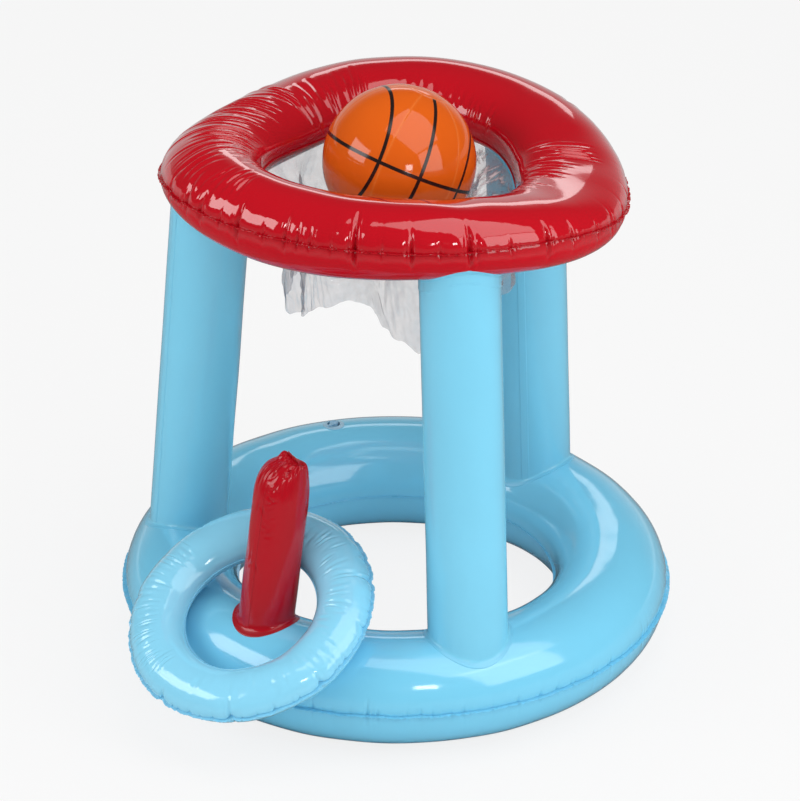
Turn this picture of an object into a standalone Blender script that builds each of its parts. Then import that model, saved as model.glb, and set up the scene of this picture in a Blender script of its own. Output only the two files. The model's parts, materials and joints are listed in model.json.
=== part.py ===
"""Floating basketball hoop: an inflatable ring on three inflatable posts over a ring-shaped float.

Every air chamber is built as the real one is, from sheets of vinyl film welded at their edges.
The float's underside rests on z = 0 and its centre is the origin; +Z is up.
Lengths are in metres and angles in degrees, counted from +X towards +Y.
"""

import math

import bmesh
import bpy
from mathutils import Matrix, Vector
from mathutils.bvhtree import BVHTree

# Film and fits
FILM = 0.0008
GAP = 0.0003

# Float: the ring that lies on the water
BASE_DIAMETER = 0.600
BASE_TUBE_WIDTH = 0.1234
BASE_TUBE_HEIGHT = 0.1188
BASE_WELD_WIDTH = 0.0032

# Hoop: the ring that the ball is thrown through
HOOP_DIAMETER = 0.4906
HOOP_TUBE_WIDTH = 0.1050
HOOP_TUBE_HEIGHT = 0.0702
HOOP_WELD_WIDTH = 0.0032
HOOP_HEIGHT = 0.5552
HOOP_TILT = 0.0080
HOOP_HIGH_SIDE = -125.0
HOOP_SADDLE = 0.0035
HOOP_SADDLE_SIDE = 74.0
HOOP_LOBES = 3
HOOP_LOBE = 0.0090
HOOP_LOBE_SIDE = -50.0

# Posts between float and hoop
POST_DIAMETER = 0.0855
POST_WELD_WIDTH = 0.0050
POST_LAP_WIDTH = 0.0080
POST_LAP_SLOPE = 0.0008
POST_PORT_DIAMETER = 0.0430
POST_TOP_OUTSET = 0.0040
FRONT_POST_ANGLE = -78.6
POST_SPACING = 120.0
POST_TOP_TURNS = {"front": -1.0, "rear": -4.0, "left": 6.0}
POST_LAP_SIDES = {"front": 90.0, "rear": -150.0, "left": 40.0}

# Peg that the toss ring is thrown over; its length is counted from the float's crest
PEG_TURN = -56.4
PEG_DIAMETER = 0.0600
PEG_LENGTH = 0.1930
PEG_LEAN = 11.0
PEG_TAPER = 0.0490
PEG_WELD_WIDTH = 0.0060
PEG_TIP_WELD_LENGTH = 0.0260
PEG_TIP_WELD_WIDTH = 0.0050
PEG_PORT_DIAMETER = 0.0300

# How far below the float's crest a post's or the peg's foot runs before it is cut back
FOOT_OVERRUN = 0.0360

# Toss ring
TOSS_DIAMETER = 0.2722
TOSS_TUBE_WIDTH = 0.0562
TOSS_TUBE_HEIGHT = 0.0430
TOSS_WELD_WIDTH = 0.0026
TOSS_SHIFT = 0.0217
TOSS_TIP = 28.5
TOSS_HEADROOM = 0.2000

# Ball
BALL_DIAMETER = 0.1640
BALL_GORES = 6
BALL_POLE_DISC = 0.0500
BALL_TILT = 29.3
BALL_TILT_SIDE = 30.5
BALL_FACING = -88.8

# Net: a skirt of clear film with deep folds, which hangs from the inner edge of the hoop's weld
NET_FOLDS = 8
NET_LENGTH = 0.1350
NET_INSET = 0.0059
NET_HEM_INSET = 0.0119
NET_FOLD_DEPTH = 0.0610
NET_HEM_FOLD_DEPTH = 0.0300
NET_FOLD_SHARPNESS = 1.4
NET_NARROW_AT = 0.0420
NET_HEM_WAVE = 0.0080

# Valves, one for each chamber that is blown up
VALVE_FLANGE_DIAMETER = 0.0240
VALVE_CUP_DIAMETER = 0.0160
VALVE_CUP_DEPTH = 0.0100
VALVE_WALL = 0.0010
VALVE_STEM_DIAMETER = 0.0094
VALVE_BORE = 0.0060
VALVE_TRAVEL = 0.0090
VALVE_FLANGE_REACH = 0.0040
VALVE_PROUD = 0.0010
VALVE_FOOT = 0.0016
CAP_HEAD = 0.0014
CAP_PLUG = 0.0060
CAP_TAB = 0.0050
CAP_TAB_SPREAD = 35.0
FLAP_THICKNESS = 0.0006

# Where each valve sits: its turn round the ring from the front post or, on the toss ring, from
# the side that lies outwards, and then the angle round the tube from its outer side
BASE_VALVE = (177.6, 84.0)
HOOP_VALVE = (178.6, -62.0)
TOSS_VALVE = (0.0, -90.0)

# Facets
RING_STEPS = 36
TOSS_STEPS = 24
HALF_TUBE_STEPS = 7
TOSS_HALF_TUBE_STEPS = 5
POST_SIDES = 20
PEG_TAPER_STEPS = 5
NET_POINTS_PER_FOLD = 8
NET_STEPS_ABOVE = 3
NET_STEPS_BELOW = 3
GORE_COLUMNS = 3
GORE_ROWS = 8
VALVE_SIDES = 12

# Sizes that follow
HALF_GAP = GAP / 2
PEG_ANGLE = FRONT_POST_ANGLE + PEG_TURN
BASE_RADIUS = BASE_DIAMETER / 2 - BASE_WELD_WIDTH - BASE_TUBE_WIDTH / 2
BASE_HEIGHT = BASE_TUBE_HEIGHT / 2
HOOP_RADIUS = HOOP_DIAMETER / 2 - HOOP_WELD_WIDTH - HOOP_TUBE_WIDTH / 2
TOSS_RADIUS = TOSS_DIAMETER / 2 - TOSS_WELD_WIDTH - TOSS_TUBE_WIDTH / 2
BALL_RADIUS = BALL_DIAMETER / 2
POST_RADIUS = POST_DIAMETER / 2
PEG_RADIUS = PEG_DIAMETER / 2
CUP_RADIUS = VALVE_CUP_DIAMETER / 2
STEM_RADIUS = VALVE_STEM_DIAMETER / 2
BORE_RADIUS = VALVE_BORE / 2
FLANGE_RADIUS = VALVE_FLANGE_DIAMETER / 2

# Heights along a valve's axis, from the film's surface outwards, with the stem pushed in
CUP_RIM = VALVE_PROUD + GAP
CUP_FLOOR = -VALVE_CUP_DEPTH
STEM_TOP = CUP_RIM + GAP
FOOT_TOP = CUP_FLOOR - VALVE_TRAVEL - GAP
FOOT_BOTTOM = FOOT_TOP - VALVE_FOOT
CAP_SEAT = STEM_TOP + GAP
FLAP_TOP = FOOT_BOTTOM - GAP


def turn(degrees):
    return math.radians(degrees)


def flat_direction(degrees):
    return Vector((math.cos(turn(degrees)), math.sin(turn(degrees)), 0.0))


# Scene, materials and meshes

def clear_scene():
    for item in list(bpy.data.objects):
        bpy.data.objects.remove(item, do_unlink=True)


def make_material(name, colour, roughness, alpha=1.0):
    material = bpy.data.materials.new(name)
    material.use_nodes = True
    shader = material.node_tree.nodes["Principled BSDF"]
    shader.inputs["Base Color"].default_value = (*colour, 1.0)
    shader.inputs["Roughness"].default_value = roughness
    shader.inputs["Metallic"].default_value = 0.0
    shader.inputs["Alpha"].default_value = alpha
    material.diffuse_color = (*colour, alpha)
    return material


def link(name, mesh, material=None, parent=None, matrix=None):
    item = bpy.data.objects.new(name, mesh)
    bpy.context.scene.collection.objects.link(item)
    if material is not None:
        mesh.materials.append(material)
    if parent is not None:
        item.parent = parent
    if matrix is not None:
        item.matrix_local = matrix
    return item


def make_empty(name, matrix, parent=None):
    item = bpy.data.objects.new(name, None)
    bpy.context.scene.collection.objects.link(item)
    item.empty_display_size = 0.02
    item.parent = parent
    item.matrix_local = matrix
    return item


def smooth(mesh):
    mesh.shade_smooth()
    mesh.set_sharp_from_angle(angle=turn(40))


def grid_mesh(name, rows, wrap_rows=False, wrap_columns=False, caps=()):
    """A mesh through rows of points; caps names the rows that are closed with one face."""
    bm = bmesh.new()
    verts = [[bm.verts.new(point) for point in row] for row in rows]
    row_count = len(rows)
    column_count = len(rows[0])
    for r in range(row_count if wrap_rows else row_count - 1):
        for c in range(column_count if wrap_columns else column_count - 1):
            a = verts[r][c]
            b = verts[r][(c + 1) % column_count]
            d = verts[(r + 1) % row_count][c]
            e = verts[(r + 1) % row_count][(c + 1) % column_count]
            bm.faces.new((a, b, e, d))
    for r in caps:
        bm.faces.new(verts[r])
    bmesh.ops.recalc_face_normals(bm, faces=bm.faces)
    mesh = bpy.data.meshes.new(name)
    bm.to_mesh(mesh)
    bm.free()
    smooth(mesh)
    return mesh


def lathe_mesh(name, profile, sides):
    """A closed solid turned round Z from a closed outline of (radius, height) points."""
    rows = []
    for i in range(sides):
        angle = math.tau * i / sides
        rows.append([(r * math.cos(angle), r * math.sin(angle), z) for r, z in profile])
    return grid_mesh(name, rows, wrap_rows=True, wrap_columns=True)


def cylinder_mesh(name, radius, low, high, sides):
    rows = []
    for z in (low, high):
        ring = [math.tau * i / sides for i in range(sides)]
        rows.append([(radius * math.cos(angle), radius * math.sin(angle), z) for angle in ring])
    return grid_mesh(name, rows, wrap_columns=True, caps=(0, 1))


def guide(item):
    """Marks a cutter or other guide, which is not a piece of the object."""
    item.hide_render = True
    item.display_type = 'WIRE'
    return item


def thicken(item, thickness=FILM, offset=-1.0):
    solid = item.modifiers.new("film", 'SOLIDIFY')
    solid.thickness = thickness
    solid.offset = offset
    solid.use_even_offset = True
    solid.use_quality_normals = True


def boolean(item, other, operation):
    cut = item.modifiers.new(operation.lower(), 'BOOLEAN')
    cut.operation = operation
    cut.solver = 'EXACT'
    cut.object = other


def world_mesh(item):
    """World-space vertices and faces of an object with its modifiers."""
    bpy.context.view_layer.update()
    depsgraph = bpy.context.evaluated_depsgraph_get()
    evaluated = item.evaluated_get(depsgraph)
    mesh = evaluated.to_mesh()
    points = [item.matrix_world @ vertex.co for vertex in mesh.vertices]
    faces = [tuple(face.vertices) for face in mesh.polygons]
    evaluated.to_mesh_clear()
    return points, faces


def travel_to_touch(moving, fixed, direction, limit, step=0.001):
    """How far the moving mesh goes along a direction before it first meets the fixed one."""
    moving_points, moving_faces = moving
    fixed_tree = BVHTree.FromPolygons(*fixed)

    def meets(distance):
        moved = [point + direction * distance for point in moving_points]
        return bool(BVHTree.FromPolygons(moved, moving_faces).overlap(fixed_tree))

    free = 0.0
    while free < limit and not meets(free + step):
        free += step
    blocked = free + step
    for _ in range(12):
        middle = (free + blocked) / 2
        if meets(middle):
            blocked = middle
        else:
            free = middle
    return free


# Rings of welded film

def tube_outline(width, height, steps, flange, grow=0.0):
    """Outer side of a ring's upper film, from its inner weld over the top to its outer weld.

    Points are (outward, up) from the tube's centre, with a flat facet at the very top.
    """
    low = HALF_GAP + FILM
    start = math.asin(low / (height / 2))
    spread = (math.pi - 2 * start) / steps
    half_width = width / 2 + grow
    half_height = height / 2 / math.cos(spread / 2) + grow
    arc = []
    for i in range(steps + 1):
        angle = math.pi - start - spread * i
        arc.append((half_width * math.cos(angle), half_height * math.sin(angle)))
    arc[0] = (arc[0][0], low + grow)
    arc[-1] = (arc[-1][0], low + grow)
    if not flange:
        return arc
    edge = half_width + flange
    return [(-edge, low + grow), *arc, (edge, low + grow)]


def ring_rows(outline, centre_line, steps):
    rows = []
    for i in range(steps):
        degrees = 360.0 * i / steps
        radius, height = centre_line(degrees)
        outward = flat_direction(degrees)
        rows.append([outward * (radius + u) + Vector((0, 0, height + v)) for u, v in outline])
    return rows


def ring_films(names, outline, centre_line, steps, material, parent=None):
    """The upper and lower film of a ring, each with its weld margins."""
    films = []
    for name, side in zip(names, (1, -1)):
        half = [(u, v * side) for u, v in outline]
        mesh = grid_mesh(name, ring_rows(half, centre_line, steps), wrap_rows=True)
        if mesh.polygons[len(outline) // 2].normal.z * side < 0:
            mesh.flip_normals()
        item = link(name, mesh, material, parent)
        thicken(item)
        films.append(item)
    return films


def ring_envelope(name, width, height, tube_steps, centre_line, steps, grow, parent=None):
    """The whole tube as one closed shape, grown a little: what a neighbour is cut back to."""
    upper = tube_outline(width, height, tube_steps, 0, grow)
    lower = [(u, -v) for u, v in reversed(upper)]
    rows = ring_rows(upper + lower, centre_line, steps)
    mesh = grid_mesh(name, rows, wrap_rows=True, wrap_columns=True)
    return guide(link(name, mesh, parent=parent))


def base_line(degrees):
    return BASE_RADIUS, BASE_HEIGHT


def hoop_line(degrees):
    """The hoop's centre line: tilted, slightly saddle-shaped and drawn out at three places."""
    radius = HOOP_RADIUS + HOOP_LOBE * math.cos(HOOP_LOBES * turn(degrees - HOOP_LOBE_SIDE))
    height = HOOP_HEIGHT + HOOP_TILT * math.cos(turn(degrees - HOOP_HIGH_SIDE))
    height += HOOP_SADDLE * math.cos(2 * turn(degrees - HOOP_SADDLE_SIDE))
    return radius, height


def toss_line(degrees):
    return TOSS_RADIUS, 0.0


def line_point(centre_line, degrees, outset=0.0):
    radius, height = centre_line(degrees)
    return flat_direction(degrees) * (radius + outset) + Vector((0, 0, height))


def frame_on(origin, z_axis, x_hint):
    """A placing matrix whose Z runs along an axis and whose X leans towards a hint."""
    z = z_axis.normalized()
    y = z.cross(x_hint).normalized()
    x = y.cross(z)
    return Matrix.Translation(origin) @ Matrix((x, y, z)).transposed().to_4x4()


def tube_frame(film, centre_line, width, height, from_angle, place):
    """The frame of a valve on a ring's film: Z along the outward normal of the facet it sits on."""
    turned, round_tube = place
    degrees = from_angle + turned
    outward = flat_direction(degrees)
    across = outward * (width / 2 * math.cos(turn(round_tube)))
    up = Vector((0, 0, height / 2 * math.sin(turn(round_tube))))
    point = line_point(centre_line, degrees) + across + up
    vertices = [vertex.co for vertex in film.data.vertices]
    faces = [face.vertices for face in film.data.polygons]
    seat, normal, _, _ = BVHTree.FromPolygons(vertices, faces).find_nearest(point)
    along = Vector((0, 0, 1)).cross(outward)
    return frame_on(seat, normal, along)


# Posts and peg

def tube_rows(radius, heights, sides, lap_side, lap_width):
    """A round film tube whose ends lap: one narrow strip of it stands a film's thickness out."""
    half_lap = lap_width / 2 / radius
    beside = half_lap + POST_LAP_SLOPE / radius
    angles = [beside + (math.tau - 2 * beside) * i / (sides - 1) for i in range(sides)]
    angles += [-half_lap, half_lap]
    radii = [radius] * sides + [radius + FILM] * 2
    rows = []
    for z in heights:
        ring = zip((angle + turn(lap_side) for angle in angles), radii)
        rows.append([(r * math.cos(angle), r * math.sin(angle), z) for angle, r in ring])
    return rows


def weld_skirt(name, matrix, crest, radius, width, envelope, sides):
    """Guide for the turned-out foot of a tube, which lies on the ring below it."""
    reach = BASE_TUBE_HEIGHT
    skirt_mesh = cylinder_mesh(name, radius + width, crest - FOOT_OVERRUN + FILM, reach, sides)
    skirt = guide(link(name, skirt_mesh, matrix=matrix))
    core_name = name + "_core"
    core_mesh = cylinder_mesh(core_name, radius - FILM / 2, -reach, reach * 2, sides)
    core = guide(link(core_name, core_mesh, matrix=matrix))
    boolean(skirt, envelope, 'INTERSECT')
    boolean(skirt, core, 'DIFFERENCE')
    return skirt


def build_post(name, degrees, top_turn, lap_side, material, guides):
    foot = line_point(base_line, degrees)
    top = line_point(hoop_line, degrees + top_turn, POST_TOP_OUTSET)
    axis = top - foot
    matrix = frame_on(foot, axis, flat_direction(degrees))
    rows = tube_rows(POST_RADIUS, (0.0, axis.length), POST_SIDES, lap_side, POST_LAP_WIDTH)
    post = link(name, grid_mesh(name, rows, wrap_columns=True), material, matrix=matrix)
    thicken(post)
    skirt = weld_skirt(name + "_skirt", matrix, BASE_HEIGHT, POST_RADIUS, POST_WELD_WIDTH,
                       guides["base_weld"], POST_SIDES)
    boolean(post, skirt, 'UNION')
    boolean(post, guides["base"], 'DIFFERENCE')
    boolean(post, guides["hoop"], 'DIFFERENCE')
    port_mesh = cylinder_mesh(name + "_port", POST_PORT_DIAMETER / 2, axis.length - HOOP_TUBE_HEIGHT,
                              axis.length, POST_SIDES)
    return guide(link(name + "_port", port_mesh, matrix=matrix))


def peg_matrix():
    foot = line_point(base_line, PEG_ANGLE) + Vector((0, 0, BASE_HEIGHT))
    inward = -flat_direction(PEG_ANGLE)
    axis = inward * math.sin(turn(PEG_LEAN)) + Vector((0, 0, math.cos(turn(PEG_LEAN))))
    return frame_on(foot, axis, -inward)


def peg_outline():
    """Heights and half widths of a round tube drawn flat at its tip, where a straight weld ends it."""
    neck = PEG_LENGTH - PEG_TIP_WELD_WIDTH
    shoulder = neck - PEG_TAPER
    flat_half = PEG_TIP_WELD_LENGTH / 2
    outline = [(-FOOT_OVERRUN, PEG_RADIUS, PEG_RADIUS), (shoulder, PEG_RADIUS, PEG_RADIUS)]
    for step in range(1, PEG_TAPER_STEPS):
        angle = math.pi / 2 * step / PEG_TAPER_STEPS
        height = shoulder + PEG_TAPER * math.sin(angle)
        fall = math.cos(angle)
        outline.append((height, flat_half + (PEG_RADIUS - flat_half) * fall, PEG_RADIUS * fall))
    outline.append((neck, flat_half, FILM))
    outline.append((PEG_LENGTH, flat_half, FILM))
    return outline


def peg_mesh(name, outline, inset=0.0):
    rows = []
    for height, long_half, short_half in outline:
        ring = [math.tau * i / POST_SIDES for i in range(POST_SIDES)]
        rows.append([((short_half - inset) * math.cos(angle), (long_half - inset) * math.sin(angle),
                      height - inset) for angle in ring])
    return grid_mesh(name, rows, wrap_columns=True, caps=(0, len(rows) - 1))


def build_peg(material, guides):
    matrix = peg_matrix()
    outline = peg_outline()
    peg = link("peg", peg_mesh("peg", outline), material, matrix=matrix)
    hollow = guide(link("peg_hollow", peg_mesh("peg_hollow", outline[:-2], FILM), matrix=matrix))
    boolean(peg, hollow, 'DIFFERENCE')
    skirt = weld_skirt("peg_skirt", matrix, 0.0, PEG_RADIUS, PEG_WELD_WIDTH,
                       guides["base_weld"], POST_SIDES)
    boolean(peg, skirt, 'UNION')
    boolean(peg, guides["base"], 'DIFFERENCE')
    port_mesh = cylinder_mesh("peg_port", PEG_PORT_DIAMETER / 2, -BASE_HEIGHT, BASE_HEIGHT, POST_SIDES)
    return guide(link("peg_port", port_mesh, matrix=matrix))


# Toss ring, ball and net

def drop_toss_ring():
    """Tips the toss ring outwards over the peg and lowers it until it lies on the float."""
    outward = flat_direction(PEG_ANGLE)
    axis = outward * math.sin(turn(TOSS_TIP)) + Vector((0, 0, math.cos(turn(TOSS_TIP))))
    start = outward * (BASE_RADIUS + TOSS_SHIFT) + Vector((0, 0, BASE_TUBE_HEIGHT + TOSS_HEADROOM))
    matrix = frame_on(start, axis, outward)
    trial = ring_envelope("toss_trial", TOSS_TUBE_WIDTH, TOSS_TUBE_HEIGHT, TOSS_HALF_TUBE_STEPS,
                          toss_line, TOSS_STEPS, 0.0)
    trial.matrix_world = matrix
    support = ring_envelope("base_trial", BASE_TUBE_WIDTH, BASE_TUBE_HEIGHT, HALF_TUBE_STEPS,
                            base_line, RING_STEPS, GAP)
    down = Vector((0, 0, -1))
    drop = travel_to_touch(world_mesh(trial), world_mesh(support), down, start.z)
    bpy.data.objects.remove(trial)
    bpy.data.objects.remove(support)
    return Matrix.Translation(down * drop) @ matrix


def ball_latitudes():
    """Colatitudes of the ball's rings of points, from one pole disc's edge to the other's."""
    edge = BALL_POLE_DISC / BALL_DIAMETER
    return [edge + (math.pi - 2 * edge) * i / GORE_ROWS for i in range(GORE_ROWS + 1)]


def ball_point(colatitude, longitude, radius):
    flat = math.sin(colatitude)
    return Vector((flat * math.cos(longitude), flat * math.sin(longitude), math.cos(colatitude))) * radius


def ball_ring(colatitude, radius):
    sides = BALL_GORES * GORE_COLUMNS
    first = -math.pi / BALL_GORES
    return [ball_point(colatitude, first + math.tau * i / sides, radius) for i in range(sides)]


def ball_envelope(name, grow, matrix):
    edge = BALL_POLE_DISC / BALL_DIAMETER
    steps = [edge / 2, *ball_latitudes(), math.pi - edge / 2]
    rows = [ball_ring(colatitude, BALL_RADIUS + grow) for colatitude in steps]
    mesh = grid_mesh(name, rows, wrap_columns=True, caps=(0, len(rows) - 1))
    return guide(link(name, mesh, matrix=matrix))


def drop_ball(net):
    """Lowers the ball through the hoop until the folds of the net hold it."""
    tilt = turn(BALL_TILT)
    axis = flat_direction(BALL_TILT_SIDE) * math.sin(tilt) + Vector((0, 0, math.cos(tilt)))
    start = Vector((0, 0, HOOP_HEIGHT + BALL_DIAMETER))
    matrix = frame_on(start, axis, flat_direction(BALL_FACING))
    trial = ball_envelope("ball_trial", GAP, matrix)
    down = Vector((0, 0, -1))
    drop = travel_to_touch(world_mesh(trial), world_mesh(net), down, BALL_DIAMETER * 2)
    bpy.data.objects.remove(trial)
    return Matrix.Translation(down * drop) @ matrix


def build_ball(matrix, material):
    centre = make_empty("ball_centre", matrix)
    latitudes = ball_latitudes()
    inset = HALF_GAP
    for number in range(BALL_GORES):
        rows = []
        for row_number, colatitude in enumerate(latitudes):
            if row_number == 0:
                colatitude += inset / BALL_RADIUS
            if row_number == GORE_ROWS:
                colatitude -= inset / BALL_RADIUS
            middle = math.tau * number / BALL_GORES
            half = math.pi / BALL_GORES - inset / (BALL_RADIUS * math.sin(colatitude))
            row = []
            for column in range(GORE_COLUMNS + 1):
                longitude = middle - half + 2 * half * column / GORE_COLUMNS
                row.append(ball_point(colatitude, longitude, BALL_RADIUS))
            rows.append(row)
        name = f"ball_gore_{number + 1}"
        mesh = grid_mesh(name, rows)
        if mesh.polygons[0].normal.dot(mesh.polygons[0].center) < 0:
            mesh.flip_normals()
        thicken(link(name, mesh, material, centre))
    edge = BALL_POLE_DISC / BALL_DIAMETER - inset / BALL_RADIUS
    discs = []
    for name, pole in (("ball_top_disc", 1), ("ball_bottom_disc", -1)):
        rows = []
        for colatitude in (edge / 2, edge):
            ring = ball_ring(colatitude, BALL_RADIUS)
            rows.append([Vector((point.x, point.y, point.z * pole)) for point in ring])
        mesh = grid_mesh(name, rows, wrap_columns=True, caps=(0,))
        if mesh.polygons[0].normal.z * pole < 0:
            mesh.flip_normals()
        disc = link(name, mesh, material, centre)
        thicken(disc)
        discs.append(disc)
    return centre, discs[1]


def net_fold_depth(below):
    """Depth of the net's folds at a distance below its weld."""
    if below < NET_NARROW_AT:
        return NET_FOLD_DEPTH * math.sin(math.pi / 2 * below / NET_NARROW_AT)
    share = (below - NET_NARROW_AT) / (NET_LENGTH - NET_NARROW_AT)
    ease = share * share * (3 - 2 * share)
    return NET_FOLD_DEPTH + (NET_HEM_FOLD_DEPTH - NET_FOLD_DEPTH) * ease


def net_rows():
    weld_height = HALF_GAP + FILM + GAP + FILM / 2
    tube_edge = HOOP_TUBE_WIDTH / 2
    bend = HOOP_RADIUS + HOOP_LOBES ** 2 * HOOP_LOBE
    facet_sag = bend * (1 - math.cos(math.pi / RING_STEPS))
    hole_edge = HOOP_RADIUS - tube_edge - HOOP_WELD_WIDTH
    hanging = NET_LENGTH - NET_NARROW_AT
    levels = [NET_NARROW_AT * i / NET_STEPS_ABOVE for i in range(NET_STEPS_ABOVE + 1)]
    levels += [NET_NARROW_AT + hanging * i / NET_STEPS_BELOW for i in range(1, NET_STEPS_BELOW + 1)]
    points = NET_FOLDS * NET_POINTS_PER_FOLD
    rows = []
    for i in range(points):
        degrees = 360.0 * i / points
        outward = flat_direction(degrees)
        radius, height = hoop_line(degrees)
        weld_edge = radius - tube_edge - HOOP_WELD_WIDTH
        weld_z = height - weld_height
        fold = ((1 - math.cos(NET_FOLDS * turn(degrees))) / 2) ** NET_FOLD_SHARPNESS
        row = [outward * (radius - tube_edge - facet_sag - GAP) + Vector((0, 0, weld_z))]
        for below in levels:
            ease = min(1.0, below / NET_NARROW_AT)
            fall = below / NET_LENGTH
            skirt = hole_edge - NET_INSET - (NET_HEM_INSET - NET_INSET) * fall
            wide = weld_edge + (skirt - weld_edge) * ease
            level = HOOP_HEIGHT - weld_height + (height - HOOP_HEIGHT) * (1 - ease)
            wave = NET_HEM_WAVE * fall * math.cos(2 * turn(degrees - PEG_ANGLE))
            reach = wide - net_fold_depth(below) * fold
            row.append(outward * reach + Vector((0, 0, level - below + wave)))
        rows.append(row)
    return rows


def build_net(material):
    net = link("net_skirt", grid_mesh("net_skirt", net_rows(), wrap_rows=True), material)
    thicken(net, offset=0.0)
    return net


# Valves

def valve_rows(levels, tab=0.0):
    """Rings of points for (radius, height) levels; a tab draws the widest ones out along X."""
    widest = max(radius for radius, height in levels)
    rows = []
    for radius, height in levels:
        row = []
        for i in range(VALVE_SIDES):
            angle = math.tau * i / VALVE_SIDES
            on_tab = radius == widest and math.cos(angle) > math.cos(turn(CAP_TAB_SPREAD))
            out = radius + tab if on_tab else radius
            row.append((out * math.cos(angle), out * math.sin(angle), height))
        rows.append(row)
    return rows


def build_valve_cup(name, place, envelope, film, material):
    """A cup in a hole of the film, with a flange that follows the film's curve on its outside."""
    hole_mesh = cylinder_mesh(name + "_hole", CUP_RADIUS + GAP, CUP_FLOOR, -CUP_FLOOR, VALVE_SIDES)
    boolean(film, guide(link(name + "_hole", hole_mesh, parent=place)), 'DIFFERENCE')

    inside_cup = CUP_RADIUS - VALVE_WALL / 2
    flange_profile = [(FLANGE_RADIUS, VALVE_PROUD), (FLANGE_RADIUS, -VALVE_FLANGE_REACH),
                      (inside_cup, -VALVE_FLANGE_REACH), (inside_cup, VALVE_PROUD)]
    flange_mesh = lathe_mesh(name + "_flange", flange_profile, VALVE_SIDES)
    flange = guide(link(name + "_flange", flange_mesh, parent=place))
    boolean(flange, envelope, 'DIFFERENCE')

    guide_hole = STEM_RADIUS + GAP
    wall = CUP_RADIUS - VALVE_WALL
    inner_floor = CUP_FLOOR + VALVE_WALL
    cup_profile = [(CUP_RADIUS, CUP_RIM), (CUP_RADIUS, CUP_FLOOR), (guide_hole, CUP_FLOOR),
                   (guide_hole, inner_floor), (wall, inner_floor), (wall, CUP_RIM)]
    cup = link(name, lathe_mesh(name, cup_profile, VALVE_SIDES), material, place)
    boolean(cup, flange, 'UNION')


def build_valve_stem(name, place, material):
    """The tube that is pulled out to blow the chamber up, and pushed in flush afterwards."""
    foot_radius = STEM_RADIUS + VALVE_FOOT
    profile = [(STEM_RADIUS, STEM_TOP), (STEM_RADIUS, FOOT_TOP), (foot_radius, FOOT_TOP),
               (foot_radius, FOOT_BOTTOM), (BORE_RADIUS, FOOT_BOTTOM), (BORE_RADIUS, STEM_TOP)]
    link(name, lathe_mesh(name, profile, VALVE_SIDES), material, place)


def build_valve_cap(name, place, material):
    """The stopper in the stem's bore, with a tab for a fingernail."""
    plug_radius = BORE_RADIUS - GAP
    levels = [(plug_radius, CAP_SEAT - CAP_PLUG), (plug_radius, CAP_SEAT),
              (STEM_RADIUS, CAP_SEAT), (STEM_RADIUS, CAP_SEAT + CAP_HEAD)]
    mesh = grid_mesh(name, valve_rows(levels, CAP_TAB), wrap_columns=True, caps=(0, len(levels) - 1))
    link(name, mesh, material, place)


def build_valve_flap(name, place, material):
    """The check flap that the chamber's air holds shut over the stem's inner end."""
    levels = [(STEM_RADIUS, FLAP_TOP), (STEM_RADIUS, FLAP_TOP - FLAP_THICKNESS)]
    mesh = grid_mesh(name, valve_rows(levels), wrap_columns=True, caps=(0, 1))
    link(name, mesh, material, place)


def build_valve(prefix, matrix, envelope, film, material, parent=None):
    place = make_empty(prefix + "_valve_axis", matrix, parent)
    build_valve_cup(prefix + "_valve_cup", place, envelope, film, material)
    build_valve_stem(prefix + "_valve_stem", place, material)
    build_valve_cap(prefix + "_valve_cap", place, material)
    build_valve_flap(prefix + "_valve_flap", place, material)


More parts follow.
